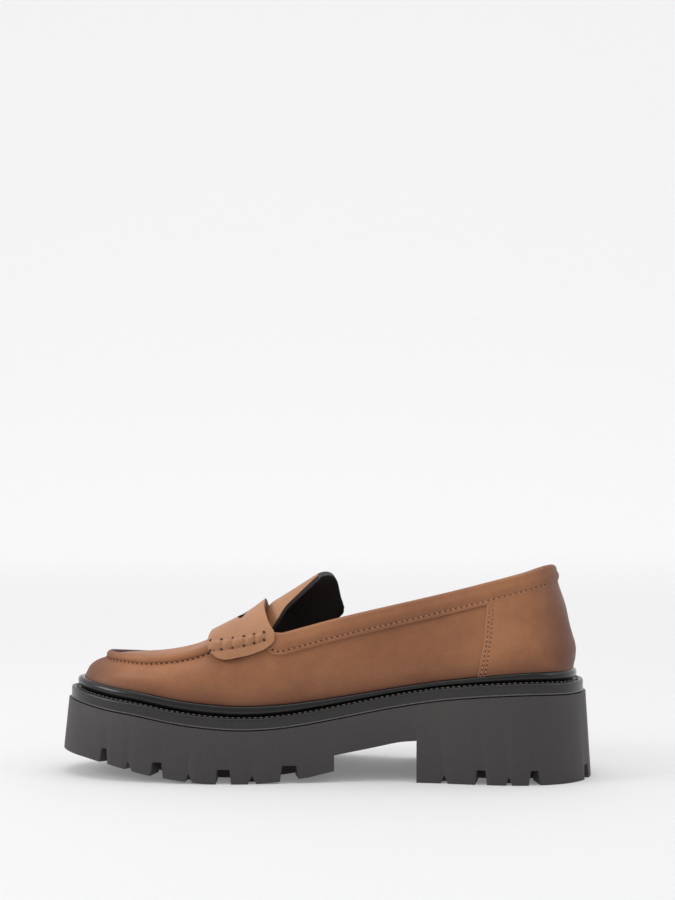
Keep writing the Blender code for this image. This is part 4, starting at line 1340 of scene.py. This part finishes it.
def make_tongue():
    """The tab behind the strap: tan outside, black binding and lining inside."""
    crest = smooth_path([(along(row.along), row.height * INSTEP_RISE) for row in TONGUE], 5)
    reach = smooth_path([(row.medial * BALL_WIDTH, row.lateral * BALL_WIDTH) for row in TONGUE], 5)
    slope = (crest[-1] - crest[0]) / np.linalg.norm(crest[-1] - crest[0])
    rows = []
    for (x, z), (near, far) in zip(crest, reach):
        row = []
        reached = (x - crest[0, 0]) / (crest[-1, 0] - crest[0, 0])
        for offset in np.linspace(-near, far, 41):
            bulge = TONGUE_CAP * reached**5 * math.sin(math.pi * np.clip(offset / far, 0, 1) ** 1.5)
            bent = min(abs(offset), TONGUE_BEND)
            drop = TONGUE_RADIUS - math.sqrt(max(TONGUE_RADIUS**2 - bent**2, 0))
            drop += (abs(offset) - bent) * TONGUE_FALL
            px = x + slope[1] * drop + slope[0] * bulge
            row.append((px, float(crest_side(x)) + offset, z - slope[0] * drop + slope[1] * bulge))
        rows.append(row)
    tongue = orient_outwards(mesh_piece("tongue_soft", [rows], [PALE_TAN, LINING]))
    thicken(tongue, TONGUE_THICKNESS, 0.0009, 1, 1)
    return hand_over(tongue, "lining", "tongue")


# %% [markdown]
# ## Stitches
#
# One Geometry Nodes tool sews a row: it walks a path at even spacing and sets a thread on each step
# and, between each two, a dark dot that paints the shade of a needle hole.

# %% The sewing tool
def sewing_tool():
    """A geometry group that sews a row of threads along a curve, with dark dots of painted shade for the
    needle holes.
    """
    tool = bpy.data.node_groups.new("sewn_row", "GeometryNodeTree")
    tool.interface.new_socket("Path", in_out="INPUT", socket_type="NodeSocketGeometry")
    for label, value in (("Spacing", 0.0024), ("Thread", 0.0016), ("Thickness", 0.0003), ("Hole", 0.0003)):
        socket = tool.interface.new_socket(label, in_out="INPUT", socket_type="NodeSocketFloat")
        socket.default_value = value
    for label in ("Thread look", "Hole look"):
        tool.interface.new_socket(label, in_out="INPUT", socket_type="NodeSocketMaterial")
    tool.interface.new_socket("Row", in_out="OUTPUT", socket_type="NodeSocketGeometry")
    start = tool.nodes.new("NodeGroupInput")
    end = tool.nodes.new("NodeGroupOutput")
    joined = tool.nodes.new("GeometryNodeJoinGeometry")
    kinds = ((0.0, ("Thread", "Thickness"), "Thread look"), (0.5, ("Hole", "Hole"), "Hole look"))
    for shift, size, look in kinds:
        steps = tool.nodes.new("GeometryNodeCurveToPoints")
        steps.mode = "LENGTH"
        trimmed = tool.nodes.new("GeometryNodeTrimCurve")
        trimmed.mode = "LENGTH"
        offset = tool.nodes.new("ShaderNodeMath")
        offset.operation = "MULTIPLY"
        offset.inputs[1].default_value = shift
        tool.links.new(start.outputs["Spacing"], offset.inputs[0])
        lengths = [item for item in trimmed.inputs if item.name == "Start" and item.enabled]
        tool.links.new(offset.outputs[0], lengths[-1])
        far = [item for item in trimmed.inputs if item.name == "End" and item.enabled]
        far[-1].default_value = 10.0
        tool.links.new(start.outputs["Path"], trimmed.inputs["Curve"])
        tool.links.new(trimmed.outputs["Curve"], steps.inputs["Curve"])
        tool.links.new(start.outputs["Spacing"], steps.inputs["Length"])
        bead = tool.nodes.new("GeometryNodeMeshUVSphere")
        bead.inputs["Segments"].default_value = 8
        bead.inputs["Rings"].default_value = 6
        bead.inputs["Radius"].default_value = 1.0
        turn = tool.nodes.new("FunctionNodeAlignRotationToVector")
        turn.axis = "X"
        tool.links.new(steps.outputs["Tangent"], turn.inputs["Vector"])
        sizes = tool.nodes.new("ShaderNodeCombineXYZ")
        half = tool.nodes.new("ShaderNodeMath")
        half.operation = "MULTIPLY"
        half.inputs[1].default_value = 0.5 if shift == 0.0 else 1.0
        tool.links.new(start.outputs[size[0]], half.inputs[0])
        tool.links.new(half.outputs[0], sizes.inputs["X"])
        tool.links.new(start.outputs[size[1]], sizes.inputs["Y"])
        tool.links.new(start.outputs[size[1]], sizes.inputs["Z"])
        placed = tool.nodes.new("GeometryNodeInstanceOnPoints")
        tool.links.new(steps.outputs["Points"], placed.inputs["Points"])
        tool.links.new(bead.outputs["Mesh"], placed.inputs["Instance"])
        tool.links.new(turn.outputs["Rotation"], placed.inputs["Rotation"])
        tool.links.new(sizes.outputs["Vector"], placed.inputs["Scale"])
        real = tool.nodes.new("GeometryNodeRealizeInstances")
        painted = tool.nodes.new("GeometryNodeSetMaterial")
        tool.links.new(placed.outputs["Instances"], real.inputs["Geometry"])
        tool.links.new(real.outputs["Geometry"], painted.inputs["Geometry"])
        tool.links.new(start.outputs[look], painted.inputs["Material"])
        tool.links.new(painted.outputs["Geometry"], joined.inputs["Geometry"])
    tool.links.new(joined.outputs["Geometry"], end.inputs["Row"])
    return tool


SEWING = sewing_tool()


def sew(name, path, spacing, thread, thickness, hole, looks=None):
    """A row of stitches along a path of points."""
    looks = looks or (THREAD, HOLE_SHADE)
    line = bpy.data.curves.new(name + "_path", "CURVE")
    line.dimensions = "3D"
    spline = line.splines.new("POLY")
    spline.points.add(len(path) - 1)
    for point, place in zip(spline.points, path):
        point.co = (*place, 1.0)
    guide = bpy.data.objects.new(name + "_guide", line)
    bpy.context.scene.collection.objects.link(guide)
    modifier = guide.modifiers.new("Sewing", "NODES")
    modifier.node_group = SEWING
    values = {"Spacing": spacing, "Thread": thread, "Thickness": thickness, "Hole": hole}
    values.update({"Thread look": looks[0], "Hole look": looks[1]})
    for item in SEWING.interface.items_tree:
        if item.in_out == "INPUT" and item.name in values:
            modifier[item.identifier] = values[item.name]
    bpy.context.view_layer.update()
    graph = bpy.context.evaluated_depsgraph_get()
    mesh = bpy.data.meshes.new_from_object(guide.evaluated_get(graph))
    bpy.data.objects.remove(guide)
    row = bpy.data.objects.new(name, mesh)
    bpy.context.scene.collection.objects.link(row)
    mesh.shade_smooth()
    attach(row, "root")
    return row


def sew_all():
    """Every row of stitches that the shoe shows."""
    start = float(station_at(along(0.385)))
    s = np.linspace(start, STATIONS, 200)
    collar = []
    for side in (MEDIAL, LATERAL):
        low = crossing(side, s, band_edge, COLLAR_TILT)
        high = crossing(side, s, lambda x: topline(x) - COLLAR_ROLL, COLLAR_TILT)
        collar.append(on_last(side, s, low + (high - low) * 0.21, np.full_like(s, 0.00105)))
    row = np.concatenate([collar[0], collar[1][::-1][1:]])
    sew("stitch_collar", row, 0.0028, 0.0019, 0.00040, 0.0004)
    for side, word in ((MEDIAL, "medial"), (LATERAL, "lateral")):
        heights = np.linspace(0.0, 0.98, 30)
        for number, back in enumerate((0.0018, 0.0037)):
            s_at, k_at = counter_places(side, heights, [back])
            row = smooth_rows(on_last(side, s_at[:, 0], k_at[:, 0], np.full(len(heights), 0.00105)), 2)
            name = f"stitch_counter_{word}_{number}"
            sew(name, row, 0.0023, 0.0015, 0.00036, 0.0004)
        marks = []
        for number, across in enumerate((-0.06, 1.06)):
            shares = np.linspace(0, len(RUNGS) - 1, 60)
            row = strap_points(side, rung_places(shares, across), 0.00005)
            sew(f"stitch_ladder_{word}_{number}", row, 0.0040, 0.0026, 0.00036, 0.0003)
            marks += list(strap_points(side, rung_places(np.arange(len(RUNGS)), across), 0.0))
        # A dark dot at each rung hole: painted shade inside the hole
        shape = bmesh.new()
        for mark in marks:
            made = bmesh.ops.create_uvsphere(shape, u_segments=10, v_segments=8, radius=0.00075)
            bmesh.ops.translate(shape, verts=made["verts"], vec=mark)
        dots = link_shape(f"holes_{word}", shape)
        dots.data.materials.append(HOLE_SHADE)
        dots.data.shade_smooth()
        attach(dots, "root")
    points, normals, _ = apron_line(0.0012)
    sew("stitch_apron_seam", points + normals * 0.0001, 0.0027, 0.0018, 0.00040, 0.0005)
    points, normals, _ = apron_line(-0.0052)
    keep = points[:, 0] > along(0.150)
    first = np.arange(len(points)) < len(points) // 2
    for word, chosen in (("medial", first), ("lateral", ~first)):
        row = (points + normals * 0.0014)[keep & chosen]
        sew(f"stitch_apron_{word}", row, 0.0020, 0.0015, 0.00018, 0.0002)
    outer = WALL_FLARE + BAND_STEP
    loop = loop_at(outer + 0.0029)
    ledge = [(x, y, float(ledge_top(x)) + 0.0001) for x, y in loop]
    # Grey welt stitches: painted highlights on black thread
    looks = (WELT_THREAD_AND_HIGHLIGHT, SATIN)
    sew("stitch_welt", ledge + ledge[:1], 0.0028, 0.0018, 0.00036, 0.0003, looks)


# %% [markdown]
# ## The studio

# %% Camera, lights and floor
def make_camera():
    """The photograph's view: level, straight along +Y, a little over the shoe."""
    lens = bpy.data.cameras.new("photo_view")
    lens.lens = 74.88
    lens.sensor_width = 36.0
    camera = bpy.data.objects.new("photo_view", lens)
    camera.location = (0.0061, -0.974, 0.1655)
    camera.rotation_euler = (math.pi / 2, 0.0, 0.0)
    bpy.context.scene.collection.objects.link(camera)
    bpy.context.scene.camera = camera


def area_light(name, place, aim, size, power):
    """A soft square light that faces a point."""
    light = bpy.data.lights.new(name, "AREA")
    light.size = size
    light.energy = power
    lamp = bpy.data.objects.new(name, light)
    lamp.location = place
    lamp.rotation_euler = (Vector(aim) - Vector(place)).to_track_quat("-Z", "Y").to_euler()
    bpy.context.scene.collection.objects.link(lamp)


def make_studio():
    """A pale floor that curves up behind the shoe, and soft light from above."""
    bend = [(2.0 + math.sin(turn), 1.0 - math.cos(turn)) for turn in np.linspace(0, math.pi / 2, 16)]
    path = [(-4.0, 0.0), *bend, (3.0, 5.0)]
    rows = [[(x, y, z) for y, z in path] for x in (-5.0, 5.0)]
    floor = mesh_piece("studio_floor", [rows], [])
    paper = bpy.data.materials.new("pale_paper")
    paper.use_nodes = True
    shader = paper.node_tree.nodes["Principled BSDF"]
    shader.inputs["Base Color"].default_value = (0.62, 0.62, 0.625, 1.0)
    shader.inputs["Roughness"].default_value = 0.9
    shader.inputs["Emission Color"].default_value = (1.0, 1.0, 1.0, 1.0)
    split = paper.node_tree.nodes.new("ShaderNodeSeparateXYZ")
    paper.node_tree.links.new(object_place(paper.node_tree), split.inputs["Vector"])
    glow = ramp(paper.node_tree, split.outputs["Y"], 0.2, 2.6, 0.17, 0.41)
    paper.node_tree.links.new(glow, shader.inputs["Emission Strength"])
    floor.data.materials.append(paper)
    world = bpy.data.worlds.new("studio")
    bpy.context.scene.world = world
    world.use_nodes = True
    world.node_tree.nodes["Background"].inputs["Color"].default_value = (1.0, 1.0, 1.0, 1.0)
    tree = world.node_tree
    sky = tree.nodes.new("ShaderNodeTexCoord")
    split = tree.nodes.new("ShaderNodeSeparateXYZ")
    tree.links.new(sky.outputs["Generated"], split.inputs["Vector"])
    strength = ramp(tree, split.outputs["Y"], -1.0, 0.4, 0.58, 1.0)
    tree.links.new(strength, tree.nodes["Background"].inputs["Strength"])
    area_light("overhead", (0.05, 0.1, 1.6), (0.0, 0.0, 0.05), 1.2, 6.2)
    area_light("front_left", (-1.4, -0.5, 0.8), (-0.05, 0.0, 0.05), 0.6, 8.0)
    area_light("front_right", (1.3, -0.5, 1.0), (0.0, 0.0, 0.05), 0.6, 2.0)
    bpy.context.scene.view_settings.view_transform = "Standard"


make_outsole()
make_band()
make_bead()
make_band_highlight()
make_upper()
make_collar_band()
make_counter()
make_apron()
make_strap()
make_rolls()
make_tongue()
sew_all()
for place in bpy.data.objects["insole"].material_slots:
    place.material = LINING
make_camera()
make_studio()
